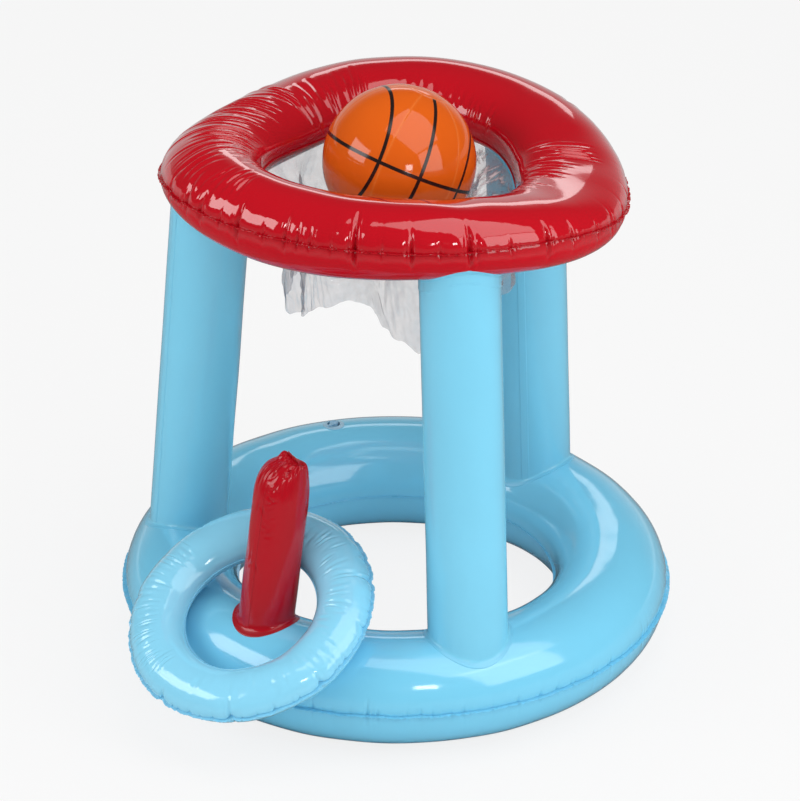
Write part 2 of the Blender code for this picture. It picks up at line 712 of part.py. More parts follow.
def build_all():
    clear_scene()
    blue = make_material("blue_vinyl", (0.19, 0.59, 0.83), 0.18)
    red = make_material("red_vinyl", (0.50, 0.012, 0.022), 0.15)
    orange = make_material("orange_vinyl", (0.72, 0.11, 0.012), 0.15)
    clear = make_material("clear_vinyl", (0.85, 0.87, 0.90), 0.10, 0.35)
    valve_vinyl = make_material("valve_vinyl", (0.55, 0.75, 0.85), 0.25, 0.7)

    base_size = (BASE_TUBE_WIDTH, BASE_TUBE_HEIGHT, HALF_TUBE_STEPS)
    hoop_size = (HOOP_TUBE_WIDTH, HOOP_TUBE_HEIGHT, HALF_TUBE_STEPS)
    guides = {
        "base": ring_envelope("base_envelope", *base_size, base_line, RING_STEPS, GAP),
        "base_weld": ring_envelope("base_weld_envelope", *base_size, base_line, RING_STEPS, GAP + FILM),
        "hoop": ring_envelope("hoop_envelope", *hoop_size, hoop_line, RING_STEPS, GAP),
    }
    base_upper, base_lower = ring_films(
        ("base_upper_film", "base_lower_film"), tube_outline(*base_size, BASE_WELD_WIDTH),
        base_line, RING_STEPS, blue)
    hoop_upper, hoop_lower = ring_films(
        ("hoop_upper_film", "hoop_lower_film"), tube_outline(*hoop_size, HOOP_WELD_WIDTH),
        hoop_line, RING_STEPS, red)

    for number, side in enumerate(("front", "rear", "left")):
        port = build_post(side + "_post", FRONT_POST_ANGLE + POST_SPACING * number,
                          POST_TOP_TURNS[side], POST_LAP_SIDES[side], blue, guides)
        boolean(hoop_lower, port, 'DIFFERENCE')
    boolean(base_upper, build_peg(red, guides), 'DIFFERENCE')

    net = build_net(clear)

    toss_matrix = drop_toss_ring()
    toss_centre = make_empty("toss_ring_centre", toss_matrix)
    toss_size = (TOSS_TUBE_WIDTH, TOSS_TUBE_HEIGHT, TOSS_HALF_TUBE_STEPS)
    toss_upper, toss_lower = ring_films(
        ("toss_ring_upper_film", "toss_ring_lower_film"), tube_outline(*toss_size, TOSS_WELD_WIDTH),
        toss_line, TOSS_STEPS, blue, toss_centre)
    toss_envelope = ring_envelope("toss_envelope", *toss_size, toss_line, TOSS_STEPS, GAP, toss_centre)

    ball_matrix = drop_ball(net)
    ball_centre, bottom_disc = build_ball(ball_matrix, orange)
    ball_round = ball_envelope("ball_envelope", GAP, ball_matrix)

    base_valve = tube_frame(base_upper, base_line, BASE_TUBE_WIDTH, BASE_TUBE_HEIGHT,
                            FRONT_POST_ANGLE, BASE_VALVE)
    build_valve("base", base_valve, guides["base"], base_upper, valve_vinyl)
    hoop_valve = tube_frame(hoop_lower, hoop_line, HOOP_TUBE_WIDTH, HOOP_TUBE_HEIGHT,
                            FRONT_POST_ANGLE, HOOP_VALVE)
    build_valve("hoop", hoop_valve, guides["hoop"], hoop_lower, valve_vinyl)
    toss_valve = tube_frame(toss_lower, toss_line, TOSS_TUBE_WIDTH, TOSS_TUBE_HEIGHT, 0.0, TOSS_VALVE)
    build_valve("toss_ring", toss_valve, toss_envelope, toss_lower, valve_vinyl, toss_centre)
    ball_valve = frame_on(Vector((0, 0, -BALL_RADIUS)), Vector((0, 0, -1)), Vector((1, 0, 0)))
    build_valve("ball", ball_valve, ball_round, bottom_disc, valve_vinyl, ball_centre)


build_all()
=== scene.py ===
import json
import math
import random

import bmesh
import bpy
import numpy as np
from mathutils import Matrix, Vector


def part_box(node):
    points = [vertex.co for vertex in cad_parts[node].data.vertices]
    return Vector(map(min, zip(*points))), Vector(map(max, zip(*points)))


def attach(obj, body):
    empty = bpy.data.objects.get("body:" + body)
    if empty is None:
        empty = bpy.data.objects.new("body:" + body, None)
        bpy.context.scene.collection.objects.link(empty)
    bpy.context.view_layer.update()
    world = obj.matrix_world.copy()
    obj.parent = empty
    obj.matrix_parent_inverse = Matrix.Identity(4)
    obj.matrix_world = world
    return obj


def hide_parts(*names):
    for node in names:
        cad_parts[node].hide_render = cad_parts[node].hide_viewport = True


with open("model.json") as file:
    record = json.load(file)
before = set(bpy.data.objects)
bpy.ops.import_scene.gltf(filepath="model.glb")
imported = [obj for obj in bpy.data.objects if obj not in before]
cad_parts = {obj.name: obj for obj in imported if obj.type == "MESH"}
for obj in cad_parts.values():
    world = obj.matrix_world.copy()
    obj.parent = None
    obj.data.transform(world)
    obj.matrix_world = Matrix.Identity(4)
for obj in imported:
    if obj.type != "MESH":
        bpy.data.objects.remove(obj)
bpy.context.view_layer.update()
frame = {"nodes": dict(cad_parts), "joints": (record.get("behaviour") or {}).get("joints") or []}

mm = 0.001

# small helpers: directions, meshes and slow waves

def flatDirection(degrees):
    return Vector((math.cos(math.radians(degrees)), math.sin(math.radians(degrees)), 0))


def skyDirection(azimuth, elevation):
    flat = flatDirection(azimuth) * math.cos(math.radians(elevation))
    return flat + Vector((0, 0, math.sin(math.radians(elevation))))


def axesAt(origin, zAxis, xHint):
    z = zAxis.normalized()
    y = z.cross(xHint).normalized()
    return Matrix.Translation(origin) @ Matrix((y.cross(z), y, z)).transposed().to_4x4()


def toWorld(matrix, points):
    turned = np.array(matrix.to_3x3())
    return points @ turned.T + np.array(matrix.translation)


def easeStep(share):
    share = np.clip(share, 0, 1)
    return share * share * (3 - 2 * share)


def shortWay(angles, centre):
    # turns from one angle to others, the short way round
    return np.remainder(angles - centre + math.pi, math.tau) - math.pi


def roundAxis(distances, turns, heights):
    # points at given distances and turns round the Z axis
    return np.stack([distances * np.cos(turns), distances * np.sin(turns), heights], -1)


def spacedTurns(turns, gap):
    # sorted turns, without those that follow another too closely
    turns = np.sort(np.remainder(turns, math.tau))
    return turns[np.concatenate([[True], np.diff(turns) > gap])]


def middlePoint(points):
    low = Vector(min(point[i] for point in points) for i in range(3))
    high = Vector(max(point[i] for point in points) for i in range(3))
    return (low + high) / 2


def middleOf(*nodes):
    return middlePoint([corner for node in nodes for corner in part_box(node)])


def addObject(name, data):
    item = bpy.data.objects.new(name, data)
    bpy.context.scene.collection.objects.link(item)
    return item


def gridQuads(rowCount, columnCount, wrapRows=False):
    # quads between rows of points; the columns always close into a loop
    rows = np.arange(rowCount if wrapRows else rowCount - 1)[:, None]
    columns = np.arange(columnCount)[None, :]
    nextRows = (rows + 1) % rowCount
    nextColumns = (columns + 1) % columnCount
    corners = (rows * columnCount + columns, rows * columnCount + nextColumns,
               nextRows * columnCount + nextColumns, nextRows * columnCount + columns)
    return np.stack(np.broadcast_arrays(*corners), -1).reshape(-1, 4)


def capFan(first, columnCount, tip):
    # triangles from one row of points to a single tip point
    loop = first + np.arange(columnCount)
    return np.stack([loop, np.roll(loop, -1), np.full(columnCount, tip)], -1)


def volumeSign(points, quads):
    a, b, c, d = (points[quads[:, i]] for i in range(4))
    whole = np.einsum("ij,ij->i", a, np.cross(b, c)) + np.einsum("ij,ij->i", a, np.cross(c, d))
    return whole.sum()


def addPiece(name, points, quads, triangles=None, marks=None, matrix=None, sharp=50):
    # one object in the row frame from numpy arrays; marks are numbers per point that its material reads
    points = np.asarray(points, float).reshape(-1, 3)
    if matrix is not None:
        points = toWorld(matrix, points)
    if triangles is None:
        triangles = np.zeros((0, 3), int)
    if volumeSign(points, quads) < 0:
        quads, triangles = quads[:, ::-1], triangles[:, ::-1]
    mesh = bpy.data.meshes.new(name)
    mesh.vertices.add(len(points))
    mesh.vertices.foreach_set("co", points.ravel())
    loops = np.concatenate([quads.ravel(), triangles.ravel()])
    starts = np.concatenate([np.arange(len(quads)) * 4, len(quads) * 4 + np.arange(len(triangles)) * 3])
    mesh.loops.add(len(loops))
    mesh.loops.foreach_set("vertex_index", loops)
    mesh.polygons.add(len(starts))
    mesh.polygons.foreach_set("loop_start", starts)
    mesh.update(calc_edges=True)
    mesh.validate()
    for mark, values in (marks or {}).items():
        layer = mesh.attributes.new(mark, 'FLOAT', 'POINT')
        layer.data.foreach_set("value", np.asarray(values, float).ravel())
    mesh.shade_smooth()
    mesh.set_sharp_from_angle(angle=math.radians(sharp))
    return addObject(name, mesh)


def addTube(name, points, tips, weld=None, tipWelds=(), matrix=None, sharp=50):
    # rows of points, with a fan of triangles from the first row, and from the last one, to a tip
    rowCount, columnCount = points.shape[:2]
    count = rowCount * columnCount
    fans = [capFan(0, columnCount, count)[:, ::-1]]
    if len(tips) > 1:
        fans.append(capFan(count - columnCount, columnCount, count + 1))
    flat = np.concatenate([points.reshape(-1, 3), tips])
    marks = None if weld is None else {"weld": np.concatenate([weld.ravel(), tipWelds])}
    return addPiece(name, flat, gridQuads(rowCount, columnCount), np.concatenate(fans), marks, matrix, sharp)


def slowWaves(first, second, seed, firstRange, secondRange, count=14, trim=0.8):
    # a gentle swell over two angles, about 1 at its highest
    chance = random.Random(seed)
    field = 0
    for _ in range(count):
        m = chance.randint(*firstRange)
        n = chance.randint(*secondRange)
        field = field + np.cos(m * first + n * second + chance.uniform(0, math.tau))
    return field / math.sqrt(count) * trim


def wavyLine(angles, seed, wavelengths, radius, count=9):
    # a line's ups and downs for angles round a ring, with wavelengths in metres
    chance = random.Random(seed)
    line = np.zeros_like(angles)
    for _ in range(count):
        turns = round(math.tau * radius / chance.uniform(*wavelengths))
        line += np.cos(turns * angles + chance.uniform(0, math.tau))
    return line / math.sqrt(count)


# creases pressed into a film, laid out on its arc and its distance from a weld

creaseForm = {  # in a crease's widths: its reach, its valley and its raised shoulders; powers for two kinds of end
    "reach": 5, "fall": 1.3, "roundness": 1.7, "shoulder": 0.34, "shoulderAt": 1.9, "shoulderWidth": 0.8,
    "peakedEnds": 1.3, "evenEnds": 1.5,
}
puckerForm = {  # a deep pucker's folds: steps beside it, then shares of its lengths, width and depth
    "folds": ((0, 1, 1, 1, 1, False), (0, 0.9, 0.9, 3.6, 0.8, False), (1, 0.5, 0.4, 0.9, 0.35, True)),
    "widening": 0.35, "step": 3.1, "radius": 240, "turnPerStep": 3, "sidePhase": 7.3,
}
puckerChance = {  # small puckers: uneven spacing, degrees kept clear of a deep one, sizes and lengths
    "uneven": 0.42, "clear": 2.0, "sizes": (0.25, 1), "sizePower": 1.4, "ahead": (0.6, 1), "behind": (0.3, 0.8),
    "turn": 9, "bow": 1,
}
wrinkleTurn = 7  # degrees by which the wrinkles of a patch differ


def crease(at, distance, ahead, behind, width, depth, turned=0.0, bow=0.0, peaked=True):
    # degrees round the ring, a distance from the weld and other lengths in millimetres; turned off the straight way
    return dict(at=at, distance=distance * mm, ahead=ahead * mm, behind=behind * mm, width=width * mm,
                depth=depth * mm, turned=turned, bow=bow * mm, peaked=peaked)


def pressCreases(creases, angles, distances, radius):
    # how far the film is drawn in: a sharp valley with a soft shoulder on each side
    form = creaseForm
    drawn = np.zeros((len(distances), len(angles)))
    for fold in creases:
        reach, width, turned = max(fold["ahead"], fold["behind"]), fold["width"], math.radians(fold["turned"])
        span = reach * abs(math.sin(turned)) + form["reach"] * width + abs(fold["bow"])
        arc = shortWay(angles, math.radians(fold["at"])) * radius
        columns = np.flatnonzero(np.abs(arc) < span)
        rows = np.flatnonzero(np.abs(distances - fold["distance"]) < reach + form["reach"] * width)
        if not len(columns) or not len(rows):
            continue
        s, d = arc[columns][None, :], (distances[rows] - fold["distance"])[:, None]
        along = d * math.cos(turned) + s * math.sin(turned)
        across = s * math.cos(turned) - d * math.sin(turned) + fold["bow"] * (along / reach) ** 2
        share = np.clip(np.abs(np.where(along > 0, along / fold["ahead"], along / fold["behind"])), 0, 1)
        strength = (1 - share) ** form["peakedEnds"] if fold["peaked"] else (1 - share ** 2) ** form["evenEnds"]
        x = np.abs(across / width)
        shoulder = form["shoulder"] * np.exp(-((x - form["shoulderAt"]) / form["shoulderWidth"]) ** 2)
        valley = np.exp(-form["fall"] * x ** form["roundness"]) - shoulder
        drawn[np.ix_(rows, columns)] += fold["depth"] * strength * valley
    return drawn


def seamPuckers(seed, count, reach, width, depth, skip):
    # short puckers all along an outer weld, away from the deep ones
    chance, form = random.Random(seed), puckerChance
    made = []
    for number in range(count):
        at = 360 * (number + chance.uniform(-form["uneven"], form["uneven"])) / count
        if any(abs((at - other + 180) % 360 - 180) < form["clear"] for other in skip):
            continue
        size = chance.uniform(*form["sizes"]) ** form["sizePower"]
        ahead, behind = (reach[0] + (reach[1] - reach[0]) * size * chance.uniform(*form[side])
                         for side in ("ahead", "behind"))
        made.append(crease(at, 0, ahead, behind, chance.uniform(*width), depth[0] + (depth[1] - depth[0]) * size,
                           chance.uniform(-form["turn"], form["turn"]), chance.uniform(-form["bow"], form["bow"])))
    return made


def deepPucker(at, ahead, behind, depth, width):
    # a pucker seen from a step away: its sharp valley, the hollow round it and a second fold beside it
    form = puckerForm
    width = width + depth * form["widening"]
    step = math.copysign(math.degrees(width * form["step"] / form["radius"]), math.sin(at * form["sidePhase"]))
    return [crease(at + step * beside, 0, ahead * longer, behind * shorter, width * wider, depth * deeper,
                   step * beside * form["turnPerStep"], peaked=peaked)
            for beside, longer, shorter, wider, deeper, peaked in form["folds"]]


def wrinklePatch(seed, first, last, distances, spacing, radius, reach, depth, turned, bow=2, width=0.3):
    # a row of long shallow wrinkles side by side; the width is a share of the spacing
    chance = random.Random(seed)
    made = []
    at = first
    while at < last:
        gap = chance.uniform(*spacing)
        length = chance.uniform(*reach)
        made.append(crease(at, chance.uniform(*distances), length, length, gap * width, chance.uniform(*depth),
                           turned + chance.uniform(-wrinkleTurn, wrinkleTurn), chance.uniform(-bow, bow), False))
        at += math.degrees(gap / radius)
    return made


def drawCreases(chance, rows):
    # how many, degrees and millimetres from one to the next, then a crease's values, each fixed or from a range
    made = []
    for count, turnStep, step, *values, peaked in rows:
        for number in range(count):
            at, distance, ahead, behind, width, depth, turned, bow = (
                chance.uniform(*value) if isinstance(value, tuple) else value for value in values)
            made.append(crease(at + number * turnStep, distance + number * step, ahead, behind, width, depth,
                               turned, bow, peaked))
    return made


def ringCreases(ring):
    # the deep puckers, small ones between them, patches of wrinkles and single folds
    made = [fold for deep in ring["deep"] for fold in deepPucker(*deep, ring["puckerWidth"])]
    made += seamPuckers(*ring["puckers"], [deep[0] for deep in ring["deep"]])
    for patch in ring["wrinkles"]:
        made += wrinklePatch(*patch)
    return made + [crease(*fold, peaked=False) for fold in ring["folds"]]


# rings: both films of one ring as a closed skin, with the welds standing out

evenRing = {  # a section without lobes or turns, and a film without patches of wrinkles
    "roll": (0,), "fullness": (2,), "slide": ((-180, 0), (180, 0)), "innerSlide": 0, "wrinkles": (), "folds": (),
}


def roundTheRing(degrees, series):
    # a mean, then the cosine and sine of one turn, of two turns and so on
    turns = np.radians(degrees)
    total = np.full_like(turns, series[0])
    for order in range(1, (len(series) + 1) // 2):
        total = total + series[2 * order - 1] * np.cos(order * turns) + series[2 * order] * np.sin(order * turns)
    return total


def ringLine(ring, degrees):
    # the radius and height of the ring's middle line, which is a level circle unless it has series of its own
    if "line" in ring:
        return roundTheRing(degrees, ring["line"]) * mm, roundTheRing(degrees, ring["rise"]) * mm
    return np.full_like(degrees, ring["radius"]), np.full_like(degrees, ring["height"])


def linePoint(ring, degrees, outset=0.0):
    radius, height = ringLine(ring, np.array([float(degrees)]))
    return flatDirection(degrees) * (radius[0] + outset) + Vector((0, 0, height[0]))


def sectionOf(ring, degrees):
    # the cross section's roll, half width, half height and fullness, and how far its outer weld slides round it
    places, slides = zip(*ring["slide"])
    slide = np.interp(np.remainder(degrees + 180, 360) - 180, places, slides)
    a = roundTheRing(degrees, ring.get("halfWidth", (ring["tubeWidth"] / 2 / mm,))) * mm
    b = roundTheRing(degrees, ring.get("halfHeight", (ring["tubeHeight"] / 2 / mm,))) * mm
    rolled = np.radians(roundTheRing(degrees, ring["roll"]))
    return rolled, a, b, roundTheRing(degrees, ring["fullness"]), np.radians(slide)


rowSteps = {  # rows close to the welds: distances from the outer weld, and back from the inner one, in millimetres
    "outer": (0, .5, 1.1, 1.8, 2.7, 3.8, 5.2, 7, 9.3, 12.2), "inner": (9, 5.5, 3, 1.2, 0), "fine": 4001,
}


def tubeRows(ring):
    # the upper film's rows from the outer weld to the inner one: turned round the section, and their distance
    a, b = ring["tubeWidth"] / 2, ring["tubeHeight"] / 2
    fine = np.linspace(0, math.pi, rowSteps["fine"])
    run = np.concatenate([[0], np.cumsum(np.hypot(np.diff(a * np.cos(fine)), np.diff(b * np.sin(fine))))])
    whole = run[-1]
    outer, inner = np.array(rowSteps["outer"]) * mm, whole - np.array(rowSteps["inner"]) * mm
    count = round((inner[0] - outer[-1]) / ring["rowSpacing"])
    distance = np.concatenate([outer, np.linspace(outer[-1], inner[0], count + 1)[1:-1], inner])
    return np.interp(distance, run, fine), distance, whole


columnSteps = {  # columns beside a sharp crease, in its widths
    "beside": (-2.6, -1.7, -1.1, -.65, -.3, 0, .3, .65, 1.1, 1.7, 2.6), "sharpBelow": 1.6, "closest": 0.35 * mm,
}


def ringAngles(ring, creases):
    # evenly spaced columns, with closer ones beside each sharp crease
    radius = ring["radius"] + ring["tubeWidth"] / 2
    angles = [np.arange(0, math.tau, ring["columnSpacing"] / radius)]
    for fold in creases:
        if fold["width"] < ring["columnSpacing"] * columnSteps["sharpBelow"]:
            steps = np.array(columnSteps["beside"]) * fold["width"]
            angles.append(math.radians(fold["at"]) + steps / radius)
    angles = np.sort(np.remainder(np.concatenate(angles), math.tau))
    kept = [angles[0]]
    for angle in angles[1:]:
        if angle - kept[-1] > columnSteps["closest"] / radius:
            kept.append(angle)
    return np.array(kept)


skinForm = {
    "outerWeld": (1, .55, .1), "innerWeld": (.1, .3, .5),  # how far the rows of the welds reach, in weld widths
    "outerReach": (1, .55, .15),  # the share of the rim's small waves that each row of the outer weld takes
    "edge": 0.7,  # half the weld's thickness at its rim, in film thicknesses
    "innerPinch": 0.1, "notchBelow": 3.5 * mm, "notchWidth": 1.7, "weldReach": 0.8 * mm,
    "rippleCount": 14, "scallopCount": 10,
}


def ringSkin(name, ring, matrix, valve):
    creases, seed = ringCreases(ring), ring["seed"]
    turned, distance, whole = tubeRows(ring)
    w, t, form = ring["weldWidth"], ring["film"], skinForm
    zeros, ones = np.zeros(3), np.ones(3)
    pinch = (np.exp(-distance / ring["pinchReach"])
             + form["innerPinch"] * np.exp(-(whole - distance) / ring["pinchReach"]))
    half = {  # rows of one film: three on the outer weld, the tube's, and three on the inner weld
        "turned": np.concatenate([zeros, turned, zeros + math.pi]),
        "outset": np.concatenate([w * np.array(form["outerWeld"]), -ring["pinch"] * pinch,
                                  w * np.array(form["innerWeld"])]),
        "aside": np.concatenate([[t * form["edge"]], t * ones, distance[1:-1] * 0, -t * ones, [-t * form["edge"]]]),
        "distance": np.concatenate([zeros, distance, whole * ones]),
        "outerReach": np.concatenate([form["outerReach"], distance * 0, zeros]),
        "tube": np.concatenate([zeros, np.ones_like(distance), zeros]),
    }
    rows = {key: np.concatenate([values, values[::-1]]) for key, values in half.items()}
    count = len(half["tube"])
    for key in ("turned", "aside", "distance"):
        rows[key][count:] *= -1

    angles = ringAngles(ring, creases)
    outerRadius = ring["radius"] + ring["tubeWidth"] / 2
    lift = wavyLine(angles, seed + 1, ring["seamWave"], outerRadius) * ring["seamRise"]
    ripple = wavyLine(angles, seed + 2, ring["ripple"], outerRadius, form["rippleCount"]) * ring["rippleRise"]
    scallop = np.abs(wavyLine(angles, seed + 3, ring["ripple"], outerRadius, form["scallopCount"])) * ring["scallop"]
    notch = np.zeros_like(angles)
    for fold in creases:
        if fold["distance"] == 0 and fold["width"] < form["notchBelow"]:
            arc = shortWay(angles, math.radians(fold["at"])) * outerRadius
            notch += fold["depth"] * ring["notch"] * np.exp(-(arc / (form["notchWidth"] * fold["width"])) ** 2)

    drawn = pressCreases(creases, angles, rows["distance"], outerRadius)
    roundTube = (rows["distance"] / whole * math.pi)[:, None]
    swell = slowWaves(angles[None, :], roundTube, seed, *ring["swellTurns"]) * ring["swell"]
    nearSeam = np.exp(-np.abs(rows["distance"]) / ring["seamReach"])[:, None]
    outset = (swell * np.abs(np.sin(roundTube)) - drawn) * rows["tube"][:, None] + rows["outset"][:, None]
    outset -= nearSeam * notch + rows["outerReach"][:, None] * scallop
    aside = rows["aside"][:, None] + nearSeam * lift + rows["outerReach"][:, None] * ripple

    rolled, a, b, full, slide = sectionOf(ring, np.degrees(angles))
    nearOuter = (1 + np.cos(rows["turned"]))[:, None] / 2
    place = rows["turned"][:, None] + slide * nearOuter + math.radians(ring["innerSlide"]) * (1 - nearOuter)
    c, n = np.cos(place), np.sin(place)
    flat, tall = a * np.sign(c) * np.abs(c) ** (2 / full), b * np.sign(n) * np.abs(n) ** (2 / full)
    facing = np.arctan2(np.sign(n) * np.abs(tall / b) ** (full - 1) / b,
                        np.sign(c) * np.abs(flat / a) ** (full - 1) / a) + rolled
    across = flat * np.cos(rolled) - tall * np.sin(rolled) + np.cos(facing) * outset - np.sin(facing) * aside
    height = flat * np.sin(rolled) + tall * np.cos(rolled) + np.sin(facing) * outset + np.cos(facing) * aside
    radius, middle = ringLine(ring, np.degrees(angles))
    points = roundAxis(radius + across, angles, middle + height)
    if ring["onFloor"]:
        points[..., 2] = np.maximum(points[..., 2], 0)
    fromWeld = np.minimum(np.abs(rows["distance"]), whole - np.abs(rows["distance"]))
    weld = np.where(rows["tube"] > 0, np.exp(-fromWeld / form["weldReach"]), 1)
    marks = {"weld": np.broadcast_to(weld[:, None], across.shape),
             "inner": np.broadcast_to(1 - nearOuter, across.shape)}
    skin = addPiece(name, points, gridQuads(len(weld), len(angles), wrapRows=True), marks=marks, matrix=matrix)
    openForValve(skin, valve)
    return skin


def openForValve(skin, valveMatrix):
    # a round hole in the film under the valve's flange
    hole, near = valveShape["holeRadius"], valveShape["holeDepth"]
    toValve = valveMatrix.inverted()
    bm = bmesh.new()
    bm.from_mesh(skin.data)
    inside = []
    for face in bm.faces:
        middle = toValve @ face.calc_center_median()
        if abs(middle.z) < near and math.hypot(middle.x, middle.y) < hole * valveShape["holeCut"]:
            inside.append(face)
    bmesh.ops.delete(bm, geom=inside, context='FACES')
    for vertex in bm.verts:
        if vertex.is_boundary:
            place = toValve @ vertex.co
            flat = math.hypot(place.x, place.y)
            if abs(place.z) < near and flat < hole * valveShape["holeRim"]:
                vertex.co = valveMatrix @ Vector((place.x * hole / flat, place.y * hole / flat, place.z))
    bm.to_mesh(skin.data)
    bm.free()


def insideRing(ring, points):
    # below 0 inside the ring's tube, above 0 outside it
    degrees = np.degrees(np.arctan2(points[..., 1], points[..., 0]))
    radius, height = ringLine(ring, degrees)
    rolled, a, b, full, _ = sectionOf(ring, degrees)
    flat, tall = np.hypot(points[..., 0], points[..., 1]) - radius, points[..., 2] - height
    across = flat * np.cos(rolled) + tall * np.sin(rolled)
    up = tall * np.cos(rolled) - flat * np.sin(rolled)
    return np.abs(across / a) ** full + np.abs(up / b) ** full - 1


def innerWeld(ring, degrees):
    # the radius and height of the inner weld's edge
    rolled, a, b, full, _ = sectionOf(ring, degrees)
    turn = math.radians(ring["innerSlide"])
    flat, tall = a * math.cos(turn) ** (2 / full), b * math.sin(turn) ** (2 / full)
    facing = np.arctan2((tall / b) ** (full - 1) / b, (flat / a) ** (full - 1) / a) + rolled
    radius, height = ringLine(ring, degrees)
    across = flat * np.cos(rolled) - tall * np.sin(rolled) + ring["weldWidth"] * np.cos(facing)
    drop = flat * np.sin(rolled) + tall * np.cos(rolled) + ring["weldWidth"] * np.sin(facing)
    return radius - across, height - drop


def meetRing(ring, origins, direction, inside, outside, halvings=28):
    # how far along a direction each origin's ray crosses the ring's skin
    low = np.full(origins.shape[:-1], float(inside))
    high = np.full(origins.shape[:-1], float(outside))
    step = np.array(direction)
    for _ in range(halvings):
        middle = (low + high) / 2
        isInside = insideRing(ring, origins + middle[..., None] * step) < 0
        low = np.where(isInside, middle, low)
        high = np.where(isInside, high, middle)
    return (low + high) / 2


# shader graphs

class Wire:
    # an output socket that can be added and multiplied like a number or a vector
    def __init__(self, graph, socket):
        self.graph, self.socket = graph, socket
        self.isNumber = socket.type == 'VALUE'

    def worked(self, operation, first, second):
        flat = all(not isinstance(value, tuple) and getattr(value, "isNumber", True) for value in (first, second))
        kind = "ShaderNodeMath" if flat else "ShaderNodeVectorMath"
        return self.graph.add(kind, {"operation": operation}, {0: first, 1: second})

    def __add__(self, other): return self.worked('ADD', self, other)
    def __radd__(self, other): return self.worked('ADD', other, self)
    def __sub__(self, other): return self.worked('SUBTRACT', self, other)
    def __rsub__(self, other): return self.worked('SUBTRACT', other, self)
    def __mul__(self, other): return self.worked('MULTIPLY', self, other)
    def __rmul__(self, other): return self.worked('MULTIPLY', other, self)
    def __pow__(self, other): return self.worked('POWER', self, other)
    def __rpow__(self, other): return self.worked('POWER', other, self)
    def __abs__(self): return self.worked('ABSOLUTE', self, 0)


class Graph:
    # the node tree of one material or of the world
    def __init__(self, owner):
        owner.use_nodes = True
        self.owner, self.tree = owner, owner.node_tree
        self.tree.nodes.clear()

    def add(self, kind, settings=None, sockets=None, output=0):
        node = self.tree.nodes.new(kind)
        for key, value in (settings or {}).items():
            setattr(node, key, value)
        for key, value in (sockets or {}).items():
            socket = node.inputs[key]
            if isinstance(value, Wire):
                self.tree.links.new(value.socket, socket)
            elif socket.type == 'RGBA' and len(value) == 3:
                socket.default_value = (*value, 1)
            else:
                socket.default_value = value
        return Wire(self, node.outputs[output]) if node.outputs else node

    def place(self):
        return self.add("ShaderNodeTexCoord", output="Object")

    def noise(self, place, scale, detail=2, roughness=0.5):
        sockets = {"Vector": place, "Scale": scale, "Detail": detail, "Roughness": roughness}
        return self.add("ShaderNodeTexNoise", None, sockets, "Fac")

    def blend(self, share, first, second):
        return self.add("ShaderNodeMix", {"data_type": 'RGBA'}, {0: share, 6: first, 7: second}, 2)

    def ease(self, value, start, end, low=0.0, high=1.0):
        settings = {"interpolation_type": 'SMOOTHSTEP', "clamp": True}
        sockets = {"Value": value, "From Min": start, "From Max": end, "To Min": low, "To Max": high}
        return self.add("ShaderNodeMapRange", settings, sockets, "Result")

    def dot(self, first, second):
        return self.add("ShaderNodeVectorMath", {"operation": 'DOT_PRODUCT'}, {0: first, 1: second}, "Value")

    def larger(self, first, second):
        return self.add("ShaderNodeMath", {"operation": 'MAXIMUM'}, {0: first, 1: second})

    def mark(self, name):
        return self.add("ShaderNodeAttribute", {"attribute_name": name}, None, "Fac")

    def bump(self, height):
        return self.add("ShaderNodeBump", None, {"Strength": 1.0, "Distance": 1.0, "Height": height})

    def surface(self, sockets):
        shader = self.add("ShaderNodeBsdfPrincipled", None, sockets)
        self.add("ShaderNodeOutputMaterial", None, {"Surface": shader})
        return self.owner


def newGraph(name):
    return Graph(bpy.data.materials.new(name))


vinylLooks = {  # colours are linear; lengths in metres
    "floatBlue": {"colour": (0.200, 0.635, 0.875), "deep": (0.135, 0.500, 0.770), "roughness": 0.14, "coat": 0.9},
    "postBlue": {"colour": (0.210, 0.640, 0.865), "deep": (0.120, 0.500, 0.750), "roughness": 0.19, "coat": 0.4},
    "tossBlue": {"colour": (0.270, 0.700, 0.930), "deep": (0.180, 0.570, 0.850), "roughness": 0.13, "coat": 0.9},
    "hoopRed": {"colour": (0.505, 0.004, 0.012), "deep": (0.370, 0.004, 0.011), "roughness": 0.10, "coat": 1.0,
                "coatBelow": 0.10, "coatIOR": 1.75, "specular": 0.12},
    "pegRed": {"colour": (0.450, 0.003, 0.011), "deep": (0.290, 0.002, 0.007), "roughness": 0.14, "coat": 0.0},
}
vinyl = {
    "cloudScale": 7.0, "cloudShare": 0.10, "smearScale": 63.0, "smearShare": 0.06, "weldFrom": 0.10,
    "weldShare": 0.40, "weldRoughness": 0.14, "grainScale": 620.0, "grainHeight": 0.000012, "sagScale": 30.0,
    "sagHeight": 0.00045, "ribScale": 900.0, "ribHeight": 0.00009, "IOR": 1.53, "coatRoughness": 0.06,
    "coatFade": (-0.15, 0.04), "innerFade": 0.22,  # film that faces down loses its coat, sooner on a ring's inside
}


